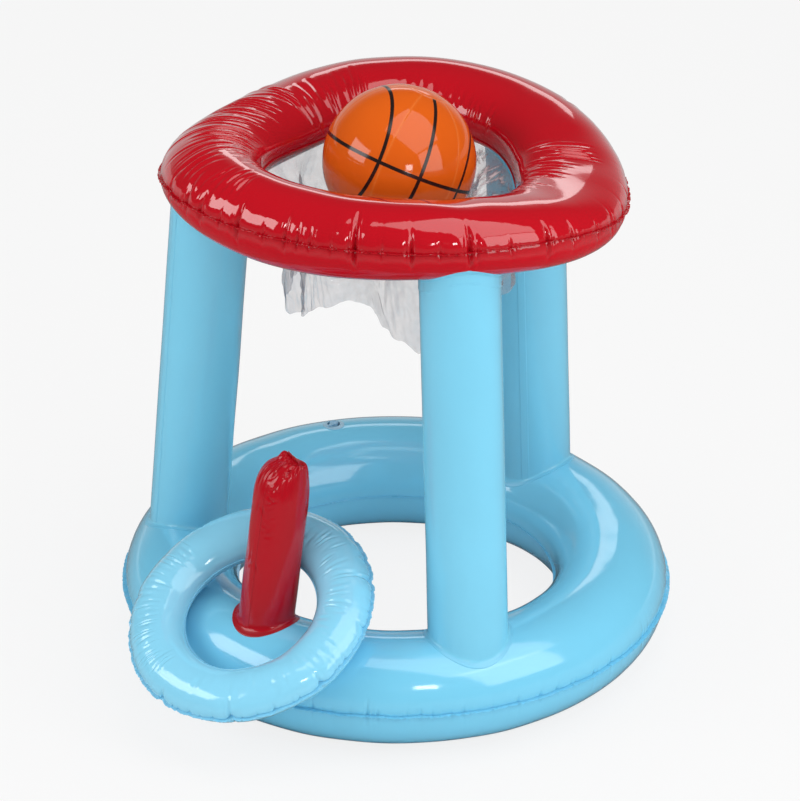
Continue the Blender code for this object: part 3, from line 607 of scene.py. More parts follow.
def vinylMaterial(name):
    # glossy film: faint clouding, a fine skin, slow unevenness, and welds pressed darker with fine ribs
    look, graph = vinylLooks[name], newGraph(name)
    place, weld = graph.place(), graph.mark("weld")
    cloud = graph.noise(place, vinyl["cloudScale"], 3)
    smear = graph.noise(place, vinyl["smearScale"], 4)
    body = (1 - vinyl["cloudShare"] / 2 + vinyl["cloudShare"] * cloud) * look["colour"]
    roughness = look["roughness"] - vinyl["smearShare"] / 2 + vinyl["smearShare"] * smear
    height = (graph.noise(place, vinyl["grainScale"]) * vinyl["grainHeight"]
              + graph.noise(place, vinyl["sagScale"]) * vinyl["sagHeight"]
              + graph.noise(place, vinyl["ribScale"], 1) * weld * vinyl["ribHeight"])
    coat = look["coat"]
    if "coatBelow" in look:
        upwards = graph.dot(graph.add("ShaderNodeTexCoord", output="Normal"), (0, 0, 1))
        coat = graph.ease(upwards - vinyl["innerFade"] * graph.mark("inner"), *vinyl["coatFade"],
                          look["coatBelow"], coat)
    return graph.surface({
        "Base Color": graph.blend(graph.ease(weld, vinyl["weldFrom"], 1, 0, vinyl["weldShare"]), body, look["deep"]),
        "Roughness": roughness + vinyl["weldRoughness"] * weld, "Normal": graph.bump(height), "IOR": vinyl["IOR"],
        "Specular IOR Level": look.get("specular", 0.5), "Coat Weight": coat,
        "Coat Roughness": vinyl["coatRoughness"], "Coat IOR": look.get("coatIOR", 1.5)})


ballLooks = {
    "orange": (0.690, 0.112, 0.008), "seam": (0.760, 0.190, 0.035), "line": (0.010, 0.009, 0.009),
    "lineHalf": 0.0020, "lineEdge": 0.0004, "discLatitude": 71.5, "discEdge": 0.004,
    "sideLines": (-33.0, 38.5),  # degrees from the middle line's plane: small circles round the ball's sides
    "cloudScale": 16, "cloudShare": 0.1, "fadeScale": 140, "fade": 0.03, "seamShare": 0.5,
    "roughness": 0.055, "smearScale": 60, "smearShare": 0.03, "lineRoughness": 0.10, "grainScale": 500,
    "grainHeight": 0.00001, "sagScale": 26, "sagHeight": 0.00022, "lineHeight": 0.00003,
}


def ballMaterial(axes):
    # the usual lines of a basketball, drawn on the ball's own axes
    looks, graph = ballLooks, newGraph("ballOrange")
    place, weld = graph.place(), graph.mark("weld")
    unit = graph.add("ShaderNodeVectorMath", {"operation": 'NORMALIZE'}, {0: place - tuple(axes.translation)})
    y, z = (graph.dot(unit, tuple(axes.col[i][:3])) for i in (1, 2))
    radius = ballShape["diameter"] / 2
    sideways = graph.add("ShaderNodeMath", {"operation": 'ARCSINE'}, {0: y})

    def stroke(distance):
        half, edge = looks["lineHalf"], looks["lineEdge"]
        return 1 - graph.ease(distance, half - edge, half + edge)

    lines = stroke(abs(z) * radius)
    latitude, edge = math.sin(math.radians(looks["discLatitude"])), looks["discEdge"]
    onDisc = graph.ease(abs(z), latitude - edge, latitude + edge)
    for degrees in looks["sideLines"]:
        lines = graph.larger(lines, stroke(abs(sideways - math.radians(degrees)) * radius))
    ink = graph.larger(lines, stroke(abs(y) * radius) * (1 - onDisc))
    cloud = graph.noise(place, looks["cloudScale"], 3)
    body = (1 - looks["cloudShare"] / 2 + looks["cloudShare"] * cloud) * looks["orange"]
    body = graph.blend(weld * looks["seamShare"], body, looks["seam"])
    shown = ink * (1 - looks["fade"] + looks["fade"] * graph.noise(place, looks["fadeScale"], 3))
    smear = looks["smearShare"] * graph.noise(place, looks["smearScale"], 3)
    height = (graph.noise(place, looks["grainScale"]) * looks["grainHeight"]
              + graph.noise(place, looks["sagScale"]) * looks["sagHeight"] + ink * looks["lineHeight"])
    return graph.surface({
        "Base Color": graph.blend(shown, body, looks["line"]), "Normal": graph.bump(height), "IOR": vinyl["IOR"],
        "Roughness": looks["roughness"] + smear + looks["lineRoughness"] * ink, "Coat Weight": 0.0})


filmLooks = {
    "cool": (0.340, 0.360, 0.420), "warm": (0.460, 0.420, 0.430), "tintScale": 38, "tintSpan": (0.35, 0.65),
    # painted highlight: this near-white colour and its span, with the extra alpha below, stand in for the glints
    # along the sharp crinkles
    "paintedGlint": (0.92, 0.84, 0.88), "glintSpan": (0.2, 0.9),
    "roughness": 0.07, "smearScale": 120, "smearRoughness": 0.08,
    "creasing": (52, 3, 0.6), "creasingHeight": 0.0022, "smearHeight": 0.0005, "turning": 0.45, "turnPower": 1.6,
    "alphaFacing": 0.21, "alphaEdge": 0.46, "alphaSmear": 0.12, "alphaGlint": 0.62,
    "IOR": 1.5, "coatRoughness": 0.04,
}


def clearMaterial():
    # thin clear film: nearly clear face on, milky where it turns away or is doubled, with a painted white highlight
    # along its sharp folds that stands in for their glints
    looks, graph = filmLooks, newGraph("clearFilm")
    place, fold = graph.place(), graph.mark("fold")
    tint = graph.noise(place, looks["tintScale"], 3)
    smear = graph.noise(place, looks["smearScale"], 4)
    bump = graph.bump(graph.noise(place, *looks["creasing"]) * looks["creasingHeight"] + smear * looks["smearHeight"])
    turned = graph.add("ShaderNodeLayerWeight", None, {"Blend": looks["turning"], "Normal": bump}, "Facing")
    alpha = looks["alphaFacing"] + (looks["alphaEdge"] - looks["alphaFacing"]) * turned ** looks["turnPower"]
    colour = graph.blend(graph.ease(tint, *looks["tintSpan"]), looks["cool"], looks["warm"])
    return graph.surface({
        # painted highlight: the colour turns near-white along the sharp crinkles
        "Base Color": graph.blend(graph.ease(fold, *looks["glintSpan"]), colour, looks["paintedGlint"]),
        "Roughness": looks["roughness"] + looks["smearRoughness"] * smear, "Normal": bump, "IOR": looks["IOR"],
        "Alpha": alpha + looks["alphaSmear"] * (smear - 0.5) + looks["alphaGlint"] * fold,
        "Coat Weight": 1.0, "Coat Roughness": looks["coatRoughness"]})


valveLooks = {
    "valveFilm": {"colour": (0.44, 0.70, 0.86), "alpha": 0.80, "roughness": 0.16},
    "valveSoft": {"colour": (0.30, 0.56, 0.76), "alpha": 0.88, "roughness": 0.24},
    "cloudScale": 210, "cloudShare": 0.14, "cloudRoughness": 0.08, "grainScale": 1500, "grainHeight": 0.00002,
    "IOR": 1.5,
}


def valveMaterial(name):
    # soft moulded vinyl, a little cloudy
    looks, look, graph = valveLooks, valveLooks[name], newGraph(name)
    place = graph.place()
    cloud = graph.noise(place, looks["cloudScale"], 3)
    return graph.surface({
        "Base Color": (1 - looks["cloudShare"] / 2 + looks["cloudShare"] * cloud) * look["colour"],
        "Roughness": look["roughness"] + looks["cloudRoughness"] * cloud, "Alpha": look["alpha"], "IOR": looks["IOR"],
        "Normal": graph.bump(graph.noise(place, looks["grainScale"]) * looks["grainHeight"])})


def finish(piece, material, body, slot, *nodes):
    piece.data.materials.clear()
    piece.data.materials.append(material)
    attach(piece, body)
    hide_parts(*nodes)


# camera and light

camera = {
    "azimuth": -98.226, "elevation": 28.868, "roll": 0.438, "lookAt": (0.0201, 0.1198, 0.2106),
    "distance": 7.0, "lens": 285.7, "sensor": 36, "clipEnd": 100,
}


def placeCamera():
    back = skyDirection(camera["azimuth"], camera["elevation"])
    sideways = Vector((0, 0, 1)).cross(back).normalized()
    raised = back.cross(sideways)
    roll = math.radians(camera["roll"])
    right = sideways * math.cos(roll) + raised * math.sin(roll)
    up = raised * math.cos(roll) - sideways * math.sin(roll)
    data = bpy.data.cameras.new("photoCamera")
    data.lens, data.sensor_width, data.clip_end = camera["lens"], camera["sensor"], camera["clipEnd"]
    item = addObject("photoCamera", data)
    turned = Matrix((right, up, back)).transposed().to_4x4()
    item.matrix_world = Matrix.Translation(Vector(camera["lookAt"]) + back * camera["distance"]) @ turned
    bpy.context.scene.camera = item


placeCamera()
bpy.context.scene.view_settings.view_transform = 'Standard'
print("camera placed")

studio = {
    "lamps": {  # metres right of the object, nearer the camera and up; width, height, radiance
        "leftBox": ((-1.70, 0.64, 1.30), 1.30, 0.80, 3.3),
        "topBox": ((0.65, 0.45, 2.35), 1.90, 2.10, 1.5),
        "rightBox": ((1.13, 0.89, 0.98), 1.00, 1.00, 2.0),
        "spot": ((0.42, 1.98, 1.16), 0.36, 0.26, 10.0),
        "backBox": ((0.15, -1.60, 1.02), 0.72, 0.22, 1.5),
    },
    "aim": (0.0, 0.0, 0.30), "ambient": 0.59, "paper": 0.950, "dark": 0.04, "pale": 0.60, "paleSpan": (-0.98, -0.50),
    "floorColour": 0.90, "floorSeen": 0.26, "floorFar": 0.85, "farSpan": (0.5, 2.2), "floorGlow": 0.88,
    "floorSize": 30.0, "floorDrop": 0.0004,
}


def placeLamps():
    aim = Vector(studio["aim"])
    nearer = flatDirection(camera["azimuth"])
    right = Vector((0, 0, 1)).cross(nearer)
    for name, (place, width, height, radiance) in studio["lamps"].items():
        data = bpy.data.lights.new(name, 'AREA')
        data.shape, data.size, data.size_y = 'RECTANGLE', width, height
        data.energy = radiance * math.pi * width * height
        item = addObject(name, data)
        spot = right * place[0] + nearer * place[1] + Vector((0, 0, place[2]))
        item.matrix_world = axesAt(spot, spot - aim, Vector((0, 0, 1)).cross(spot - aim))
        item.visible_camera = False


def placeWorld():
    # white paper for the camera; in reflections it is pale behind the object and dim on the camera's side
    world = bpy.data.worlds.new("studio")
    bpy.context.scene.world = world
    graph = Graph(world)
    direction = graph.add("ShaderNodeTexCoord", output="Generated")
    facing = graph.dot(direction, tuple(skyDirection(camera["azimuth"], camera["elevation"])))
    seen = graph.ease(facing, *studio["paleSpan"], studio["pale"], studio["dark"])
    ray = graph.add("ShaderNodeLightPath", output="Is Camera Ray")
    rays = ray.socket.node.outputs
    glossy, through = Wire(graph, rays["Is Glossy Ray"]), Wire(graph, rays["Is Transmission Ray"])
    strength = studio["ambient"] + (seen - studio["ambient"]) * glossy
    strength = strength + (studio["paper"] - strength) * ray
    strength = strength + (studio["paper"] - strength) * through
    background = graph.add("ShaderNodeBackground", None, {"Color": (1, 1, 1), "Strength": strength})
    graph.add("ShaderNodeOutputWorld", None, {"Surface": background})


def placeFloor():
    # paper that keeps the object's shadow; in reflections it is dim near the object and pale far behind it
    half, low = studio["floorSize"], -studio["floorDrop"]
    mesh = bpy.data.meshes.new("floor")
    corners = [(-half, -half, low), (half, -half, low), (half, half, low), (-half, half, low)]
    mesh.from_pydata(corners, [], [(0, 1, 2, 3)])
    graph = newGraph("paleFloor")
    ray = graph.add("ShaderNodeLightPath", output="Is Camera Ray")
    glossy = Wire(graph, ray.socket.node.outputs["Is Glossy Ray"])
    behind = graph.dot(graph.place(), tuple(-flatDirection(camera["azimuth"])))
    seen = graph.ease(behind, *studio["farSpan"], studio["floorSeen"], studio["floorFar"])
    shade = studio["floorColour"] + (seen - studio["floorColour"]) * glossy
    paper = graph.add("ShaderNodeBsdfDiffuse", None, {"Color": shade})
    glow = graph.add("ShaderNodeEmission", None, {"Color": (1, 1, 1), "Strength": studio["paper"]})
    mixed = graph.add("ShaderNodeMixShader", None, {0: ray * studio["floorGlow"], 1: paper, 2: glow})
    graph.add("ShaderNodeOutputMaterial", None, {"Surface": mixed})
    mesh.materials.append(graph.owner)
    addObject("floor", mesh)


placeLamps()
placeWorld()
placeFloor()
print("lamps, world and floor placed")

blueFloat, bluePost, blueToss = (vinylMaterial(name) for name in ("floatBlue", "postBlue", "tossBlue"))
redHoop, redPeg = vinylMaterial("hoopRed"), vinylMaterial("pegRed")
clearFilm = clearMaterial()

# valves: four of one kind, each on its own axis

valveShape = {
    "holeRadius": 0.0095, "holeCut": 0.93, "holeRim": 1.8, "holeDepth": 0.006, "sides": 48, "stemTop": 0.0016,
    "cup": [(12.0, 0.1), (12.0, 0.5), (11.6, 0.85), (10.6, 1.0), (9.5, 1.0), (8.8, 1.05), (8.5, 1.3), (8.1, 1.45),
            (7.5, 1.45), (7.1, 1.25), (7.0, 0.6), (7.0, -8.4), (6.4, -9.0), (5.05, -9.0), (5.05, -10.0),
            (7.4, -10.0), (8.0, -9.4), (8.0, -0.9), (9.0, -0.35), (11.8, -0.25)],
    "stem": [(4.7, 1.2), (4.5, 1.55), (4.1, 1.6), (3.4, 1.6), (3.05, 1.3), (3.05, -20.9), (6.2, -20.9), (6.3, -20.6),
             (6.3, -19.6), (6.0, -19.3), (4.9, -19.3), (4.7, -19.0)],
    "cap": [(0, -4.1), (2.2, -4.1), (2.55, -3.7), (2.7, -3.2), (2.7, 1.5), (2.9, 1.9), (4.3, 1.9), (4.7, 2.1),
            (4.7, 2.9), (4.4, 3.25), (2.2, 3.3), (1.9, 3.0), (0, 3.0)],
    "tabReach": 5.0, "tabSpread": 34.0, "tabRim": 0.5, "tabFullness": 0.4, "capSides": 72,
    "seatFrom": 7.5, "seatOver": 1.5, "seatSearch": (-0.012, 0.006), "sharp": 38,
}


def valveAxes(prefix):
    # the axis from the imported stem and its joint, with the cap's tab along X
    axis = Vector(next(joint["axis"] for joint in frame["joints"] if joint["name"] == prefix + "_stem_pull"))
    stem, cap = ([vertex.co for vertex in frame["nodes"][prefix + part].data.vertices]
                 for part in ("_valve_stem", "_valve_cap"))
    middle = middlePoint(stem)
    top = max((point - middle).dot(axis) for point in stem)
    origin = middle + axis * (top - valveShape["stemTop"])
    tab = max(cap, key=lambda point: (point - origin - axis * (point - origin).dot(axis)).length)
    return axesAt(origin, axis, tab - origin)


def lathe(name, profile, matrix, seat=None, tab=0.0, sides=valveShape["sides"]):
    # turned round Z from (radius, height) in millimetres; seat lays the flange on the film's curve
    turns = np.arange(sides) / sides * math.tau
    outline = np.array(profile, float) * mm
    closed = outline[0, 0] > 0
    body = outline if closed else outline[1:-1]
    radii = np.repeat(body[:, :1], sides, 1)
    if tab:
        widest = body[:, 0].max() - valveShape["tabRim"] * mm
        onTab = np.clip(np.cos(turns * 180 / valveShape["tabSpread"] / 2), 0, 1) ** valveShape["tabFullness"]
        onTab = np.where(np.abs(shortWay(turns, 0)) < math.radians(valveShape["tabSpread"]), onTab, 0)
        radii = radii + (body[:, :1] > widest) * onTab[None, :] * tab * mm
    heights = np.repeat(body[:, 1:], sides, 1)
    if seat is not None:
        share = easeStep((radii - valveShape["seatFrom"] * mm) / (valveShape["seatOver"] * mm))
        heights = heights + seat(radii * np.cos(turns), radii * np.sin(turns)) * share
    points = roundAxis(radii, turns, heights)
    if closed:
        quads = gridQuads(len(body), sides, wrapRows=True)
        return addPiece(name, points, quads, matrix=matrix, sharp=valveShape["sharp"])
    tips = [[0, 0, outline[0, 1]], [0, 0, outline[-1, 1]]]
    return addTube(name, points, tips, matrix=matrix, sharp=valveShape["sharp"])


def valveSet(prefix, carrier, matrix, seat):
    made = {
        "cup": (lathe(prefix + "ValveCup", valveShape["cup"], matrix, seat), valveFilm, carrier),
        "stem": (lathe(prefix + "ValveStem", valveShape["stem"], matrix), valveSoft, prefix + "_valve_stem"),
        "cap": (lathe(prefix + "ValveCap", valveShape["cap"], matrix, tab=valveShape["tabReach"],
                      sides=valveShape["capSides"]), valveSoft, prefix + "_valve_cap"),
    }
    for part, (piece, material, body) in made.items():
        finish(piece, material, body, "valve_vinyl", prefix + "_valve_" + part)
    flap = frame["nodes"][prefix + "_valve_flap"].data
    flap.materials.clear()
    flap.materials.append(valveSoft)


def seatOnRing(ring, matrix, place):
    # how far the ring's skin lies above or below the valve's own plane
    toRing = place.inverted() @ matrix

    def seat(x, y):
        origins = toWorld(toRing, np.stack([x, y, np.zeros_like(x)], -1))
        return meetRing(ring, origins, toRing.to_3x3().col[2], *valveShape["seatSearch"])
    return seat


def makeRing(prefix, name, ring, material, body, slot, place=Matrix.Identity(4)):
    # a ring's skin stands for its two films, and its valve sits on the skin
    valve = valveAxes(prefix)
    skin = ringSkin(name, ring, place, valve)
    finish(skin, material, body, slot, prefix + "_upper_film", prefix + "_lower_film")
    valveSet(prefix, body, valve, seatOnRing(ring, valve, place))


valveFilm, valveSoft = valveMaterial("valveFilm"), valveMaterial("valveSoft")

# the float

floatRing = {
    "radius": 0.2351, "height": 0.0594, "tubeWidth": 0.1234, "tubeHeight": 0.1188, "weldWidth": 0.0032,
    "film": 0.0003, "pinch": 0.0016, "pinchReach": 0.0060, "rowSpacing": 0.0046, "columnSpacing": 0.0024,
    "seamWave": (0.02, 0.09), "seamRise": 0.0005, "seamReach": 0.010, "ripple": (0.004, 0.012),
    "rippleRise": 0.0005, "scallop": 0.0004, "notch": 0.9, "swell": 0.0003,
    "swellTurns": ((4, 26), (1, 3)), "seed": 3, "onFloor": True, **evenRing,
    "puckerWidth": 1.3, "puckers": (11, 120, (3, 12), (.9, 1.7), (.12, .45)),  # seed, count, reach, width, depth
    # deep puckers: degrees round the ring, lengths over the upper and the lower film, depth
    "deep": ((-115.5, 16, 9, 0.5), (-104, 20, 12, 0.9), (-101.8, 8, 9, 0.5), (-93, 11, 7, 0.4), (-84, 9, 6, 0.45),
             (-72, 12, 6, 0.5), (-66.7, 7, 7, 0.7), (-62.5, 9, 7, 0.7), (-52.2, 8, 8, 0.8), (-46.7, 9, 6, 0.7),
             (-34, 14, 10, 0.6), (-12, 18, 9, 0.7), (9, 10, 12, 0.8), (31, 22, 8, 0.7), (58, 12, 9, 0.6),
             (83, 16, 12, 0.8), (112, 9, 9, 0.6), (137, 20, 10, 0.8), (163, 12, 12, 0.7), (-171, 18, 10, 0.8),
             (-150, 12, 9, 0.6), (-131, 10, 8, 0.6)),
}

makeRing("base", "floatSkin", floatRing, blueFloat, "float", "blue_vinyl")
print("float made")

# the hoop

hoopRing = {
    "radius": 0.1896, "tubeWidth": 0.1050, "tubeHeight": 0.0702, "weldWidth": 0.0030,
    "film": 0.0003, "pinch": 0.0009, "pinchReach": 0.0036, "rowSpacing": 0.0034, "columnSpacing": 0.0016,
    # the ring is soft: posts and folds bend it, so its line and section change round it (mm and degrees)
    "line": (189.99, -.87, .48, -1.03, 2.18, -8.48, -3.74, 1.64, .55),
    "rise": (555.52, -8.36, -8.59, -3.70, 2.28, -2.53, 1.31, 1.00, 1.96),
    "halfWidth": (53.67, 1.84, -.18, 2.25, -4.23), "halfHeight": (37.74, -3.06, -3.04, .68, 1.86),
    "roll": (2.2, .92, -4.04, -6.35, 4.42), "fullness": (2.10, .21, -.12),
    "seamWave": (0.03, 0.10), "seamRise": 0.0006, "seamReach": 0.009, "ripple": (0.004, 0.013),
    "rippleRise": 0.0006, "scallop": 0.0005, "notch": 1.0, "swell": 0.0004,
    "swellTurns": ((4, 22), (1, 3)), "seed": 5, "onFloor": False,
    "slide": ((-180, 7), (-170, 9), (-160, 6), (-150, 5), (-140, 2), (-130, 1), (-120, -2), (-100, -3), (-90, -3),
              (-80, -1), (-70, 4), (-60, 8), (-50, 10), (-40, 8), (-30, 4), (-22, 0), (160, 0), (180, 7)),
    "innerSlide": 16,
    "deep": ((-170, 14, 10, 1.0), (-161, 22, 13, 1.3), (-155.5, 20, 15, 1.5), (-148.5, 13, 8, .7),
             (-143, 26, 19, 1.9), (-135, 11, 8, .6), (-129, 30, 14, 1.3), (-125.4, 22, 9, 1.1), (-122, 18, 7, .9),
             (-116, 10, 7, .5),
             (-109.7, 44, 25, 2.6), (-102.5, 13, 9, .6), (-94.9, 23, 21, 1.8), (-88, 11, 9, .6), (-80.5, 33, 23, 2.4),
             (-70.5, 13, 9, .6), (-60.2, 27, 21, 1.9), (-52.5, 24, 11, 1.3), (-43, 13, 9, .8), (-35, 18, 12, 1.2),
             (-26, 14, 12, 1.2), (-17, 20, 14, 1.3), (-7, 14, 12, 1.0), (5, 18, 12, 1.1), (16, 14, 10, .9),
             (29, 26, 15, 1.5), (47, 15, 11, .8), (66, 20, 13, 1.0), (88, 17, 13, .9), (104, 14, 12, .8),
             (120, 22, 13, 1.1), (133, 16, 13, 1.1), (148, 20, 13, 1.2), (160, 18, 11, 1.2), (167, 14, 13, 1.2),
             (175, 16, 11, 1.1)),
    "puckerWidth": 1.3, "puckers": (23, 46, (3, 13), (1.1, 2.1), (.10, .34)),
    "wrinkles": (  # seed, from and to in degrees, distances, spacing, radius, lengths, depths, turned, bow
        (31, 96, 130, (78, 105), (8.5, 15), 200, (18, 34), (.6, 1.5), 6),
        (32, 126, 188, (42, 78), (5.2, 10.5), 200, (24, 46), (.6, 1.6), -10, 4),
        (35, 190, 214, (20, 45), (6, 12), 200, (16, 30), (.6, 1.4), -6, 4),
        (33, -27, 2, (60, 92), (6.5, 12), 200, (14, 28), (.7, 1.5), 14, 4),
        (34, 40, 86, (90, 115), (8, 16), 200, (12, 24), (.4, .9), 0),
        (36, 168, 262, (86, 102), (4, 9.5), 200, (9, 18), (.3, .8), -12),
        (37, -48, -8, (78, 98), (4, 9), 200, (8, 16), (.3, .8), 12),
    ),
    "folds": ((127, 24, 26, 20, 6, 3.4, -14), (29.3, 12, 20, 16, 6, 2, 10)),
}

makeRing("hoop", "hoopSkin", hoopRing, redHoop, "float", "red_vinyl")
print("hoop made")

# the three posts

postShape = {
    "names": ("front", "rear", "left"), "radius": 0.04275, "frontAngle": -78.6, "spacing": 120,
    "topTurns": (-1.0, -4.0, 6.0), "topOutset": (0.0015, 0.0024, 0.0029), "lapSides": (90, -150, 40),
    "lapWidth": 0.0080, "lapRise": 0.0005, "columns": 120, "spanRows": 78,
    "swell": 0.00035, "swellSeed": 40, "swellTurns": ((1, 5), (1, 7)), "foldSeed": 70, "wallRamp": 0.0004,
    "bandHeight": 0.0142, "bandRise": 0.0004, "bandRamp": 0.0006, "bandLine": 0.00035, "bandLineWidth": 0.0005,
    "bandWeld": 0.7, "bandWeldWidth": 0.0008, "footReach": 0.10, "topReach": 0.09,
    "lowTip": 0.030, "highTip": 0.012,  # where the hidden ends close, inside the rings
    # rows at the ends: millimetres outside the tube's wall, and above the float's skin or below the hoop's
    "footRows": ((5.0, -.5), (5.0, .35), (4.4, .5), (3.2, .55), (2.0, .75), (1.1, 1.2), (.4, 2.2), (.1, 3.6),
                 (0, 5.4), (0, 8), (0, 12)),
    "topRows": ((0, 21), (0, 17), (0, 15.2), (0, 14.5), (0, 13.9), (0, 13.2), (0, 10.5), (0, 7.5), (0, 5), (.2, 3.2),
                (.7, 1.9), (1.6, 1.0), (2.8, .6), (3.6, .4), (3.6, -.5)),
    "footWeld": 5, "topWeld": 4,  # rows
    "topFolds": [(16, 0, 0, (0, 360), 1, (8, 24), 4, (1.6, 3.0), (.2, .6), (-12, 12), 0, True)],
    "footFolds": [(14, 0, 0, (0, 360), 1, (7, 18), 4, (1.6, 2.8), (.2, .5), (-12, 12), 0, True)],
}
lapForm = {  # millimetres beside the lap's edges, and the strength of their mark
    "beside": (-.9, -.45, -.2, 0, .2, .45, .9), "closest": 0.1, "ramp": 0.6, "line": 0.45, "weld": 0.8,
}


def tubeTurns(shape, lapSide):
    # evenly spaced turns, with closer ones beside the two edges of the tube's lap
    radius = shape["radius"]
    turns = [np.arange(shape["columns"]) * math.tau / shape["columns"]]
    for edge in (-shape["lapWidth"] / 2, shape["lapWidth"] / 2):
        turns.append(edge / radius + np.array(lapForm["beside"]) * mm / radius)
    turns = spacedTurns(np.concatenate(turns), lapForm["closest"] * mm / radius)
    return np.sort(np.remainder(turns + math.radians(lapSide), math.tau))


def lapStrip(shape, turns, side):
    # the raised strip where a tube's two edges lap, and a mark along its edges
    half, ramp = shape["lapWidth"] / 2, lapForm["ramp"] * mm
    arc = np.abs(shortWay(turns, math.radians(side)) * shape["radius"])
    strip = easeStep((half + ramp / 2 - arc) / ramp) * shape["lapRise"]
    return strip, np.exp(-((arc - half) / (lapForm["line"] * mm)) ** 2)


def endHeights(shape, rows, ring, matrix, turns, inside, outside, lift=1):
    # a tube's rows where it meets a ring's skin: each lies outside the tube's wall and away from the skin
    heights = []
    for out, away in rows:
        origins = toWorld(matrix, roundAxis(shape["radius"] + out * mm, turns, np.zeros_like(turns)))
        heights.append(meetRing(ring, origins, matrix.to_3x3().col[2], inside, outside) + away * mm * lift)
    return heights


def postSkin(number):
    shape, name, lapSide = postShape, postShape["names"][number], postShape["lapSides"][number]
    degrees = shape["frontAngle"] + shape["spacing"] * number
    foot = linePoint(floatRing, degrees)
    top = linePoint(hoopRing, degrees + shape["topTurns"][number], shape["topOutset"][number])
    matrix = axesAt(foot, top - foot, flatDirection(degrees))
    radius, reach = shape["radius"], (top - foot).length
    turns = tubeTurns(shape, lapSide)
    strip, lapLine = lapStrip(shape, turns, lapSide)
    footEnds = endHeights(shape, shape["footRows"], floatRing, matrix, turns, 0, shape["footReach"])
    topEnds = endHeights(shape, shape["topRows"], hoopRing, matrix, turns, reach, reach - shape["topReach"], -1)
    shares = np.arange(1, shape["spanRows"]) / shape["spanRows"]
    span = [footEnds[-1] + (topEnds[0] - footEnds[-1]) * share for share in shares]
    heights = np.array(footEnds + span + topEnds)
    out = np.zeros(len(heights))
    out[:len(footEnds)] = [row[0] * mm for row in shape["footRows"]]
    out[-len(topEnds):] = [row[0] * mm for row in shape["topRows"]]
    wall = easeStep((shape["wallRamp"] - out) / shape["wallRamp"])[:, None]

    fromFoot, fromTop = heights - heights[1], heights[-2] - heights
    chance = random.Random(shape["foldSeed"] + number)
    topFolds, footFolds = (drawCreases(chance, shape[end]) for end in ("topFolds", "footFolds"))
    upwards = heights / reach * math.pi
    push = slowWaves(turns[None, :], upwards, shape["swellSeed"] + number, *shape["swellTurns"]) * shape["swell"]
    push -= pressCreases(topFolds, turns, fromTop.mean(1), radius)
    push -= pressCreases(footFolds, turns, fromFoot.mean(1), radius)
    push += strip[None, :]
    fromBand = fromTop - shape["bandHeight"]
    push += easeStep((shape["bandRamp"] / 2 - fromBand) / shape["bandRamp"]) * shape["bandRise"]
    push += np.exp(-(fromBand / shape["bandLineWidth"]) ** 2) * shape["bandLine"]
    points = roundAxis(radius + out[:, None] + push * wall, turns, heights)

    weld = np.zeros_like(heights)
    weld[:shape["footWeld"]] = weld[-shape["topWeld"]:] = 1
    weld = np.maximum(weld, lapLine[None, :] * lapForm["weld"] * wall)
    weld = np.maximum(weld, np.exp(-(fromBand / shape["bandWeldWidth"]) ** 2) * shape["bandWeld"] * wall)
    tips = [[0, 0, shape["lowTip"]], [0, 0, reach - shape["highTip"]]]
    skin = addTube(name + "PostSkin", points, tips, weld, (0, 0), matrix)
    finish(skin, bluePost, "float", "blue_vinyl", name + "_post")


for number in range(len(postShape["names"])):
    postSkin(number)
print("posts made")

# the peg

pegShape = {
    "angle": -135.0, "setBack": 0.0050, "radius": 0.0300, "length": 0.1825, "lean": 11.0, "taper": 0.0450,
    "tipHalf": 0.0072, "tipWeld": 0.0026, "tipSlope": 0.55, "tipAside": 0.0095, "film": 0.0003, "lapWidth": 0.0070,
    "lapRise": 0.0005, "lapSide": -8, "lapEnd": (0.020, 0.010), "columns": 150, "spanRows": 60, "taperRows": 40,
    "swell": 0.00035, "swellSeed": 61, "swellTurns": ((1, 5), (1, 6)), "foldSeed": 9, "ramp": 0.0005,
    "footRows": ((6.0, -.5), (6.0, .4), (5.2, .6), (3.8, .75), (2.4, 1.1), (1.3, 1.8), (.5, 3.2), (.1, 5.2), (0, 8)),
    "footSpan": (-0.06, 0.03), "footWeld": 5, "lowTip": -0.030,
    "longPower": 0.8, "shortPower": 0.9, "tipRows": (0.12, 0.3, 0.5, 0.7, 0.9, 1.0), "tipEdge": 0.0004,
    "tipRamp": 0.006, "slopeRamp": 0.003, "asidePower": 4,
    "tipWaves": ((900, 0.6, 0.0009), (2100, 2.0, 0.0005)), "tipRise": (1500, 1.1, 0.0006),  # turn, start, size
    "folds": (
        (30, 12, 0, (-4.8, 4.8), 179.9, 3, (16, 50), (1.2, 3.0), (.6, 1.9), (-10, 10), (-2, 2), True),  # pleats
        (11, 0, 4.9, (7, 21), 100, 9, 8, 1.4, (.5, 1.1), (68, 112), (1, 4), False),  # rungs beside the lap
        (9, 0, 0, (-2, 42), (143, 171), 8, 8, 1.5, (.5, 1.2), (10, 100), (2, 5), False),  # loops below the tip
        (1, 0, 0, -14, 128, 7, 9, 1.6, 1.1, 20, 2, False), (1, 0, 0, -2, 126.5, 7, 9, 1.6, 1.1, -30, 2, False),
        (1, 0, 0, -14, 66, 7, 9, 1.6, 1.1, 40, 2, False), (1, 0, 0, 0, 64, 7, 9, 1.6, 1.1, -20, 2, False),
        (1, 0, 0, -20, 72, 7, 9, 1.6, 1.1, 10, 2, False),
        (10, 0, 0, (70, 330), (90, 160), 16, 16, 2.8, (.2, .6), (-40, 40), (-3, 3), False),
    ),
}


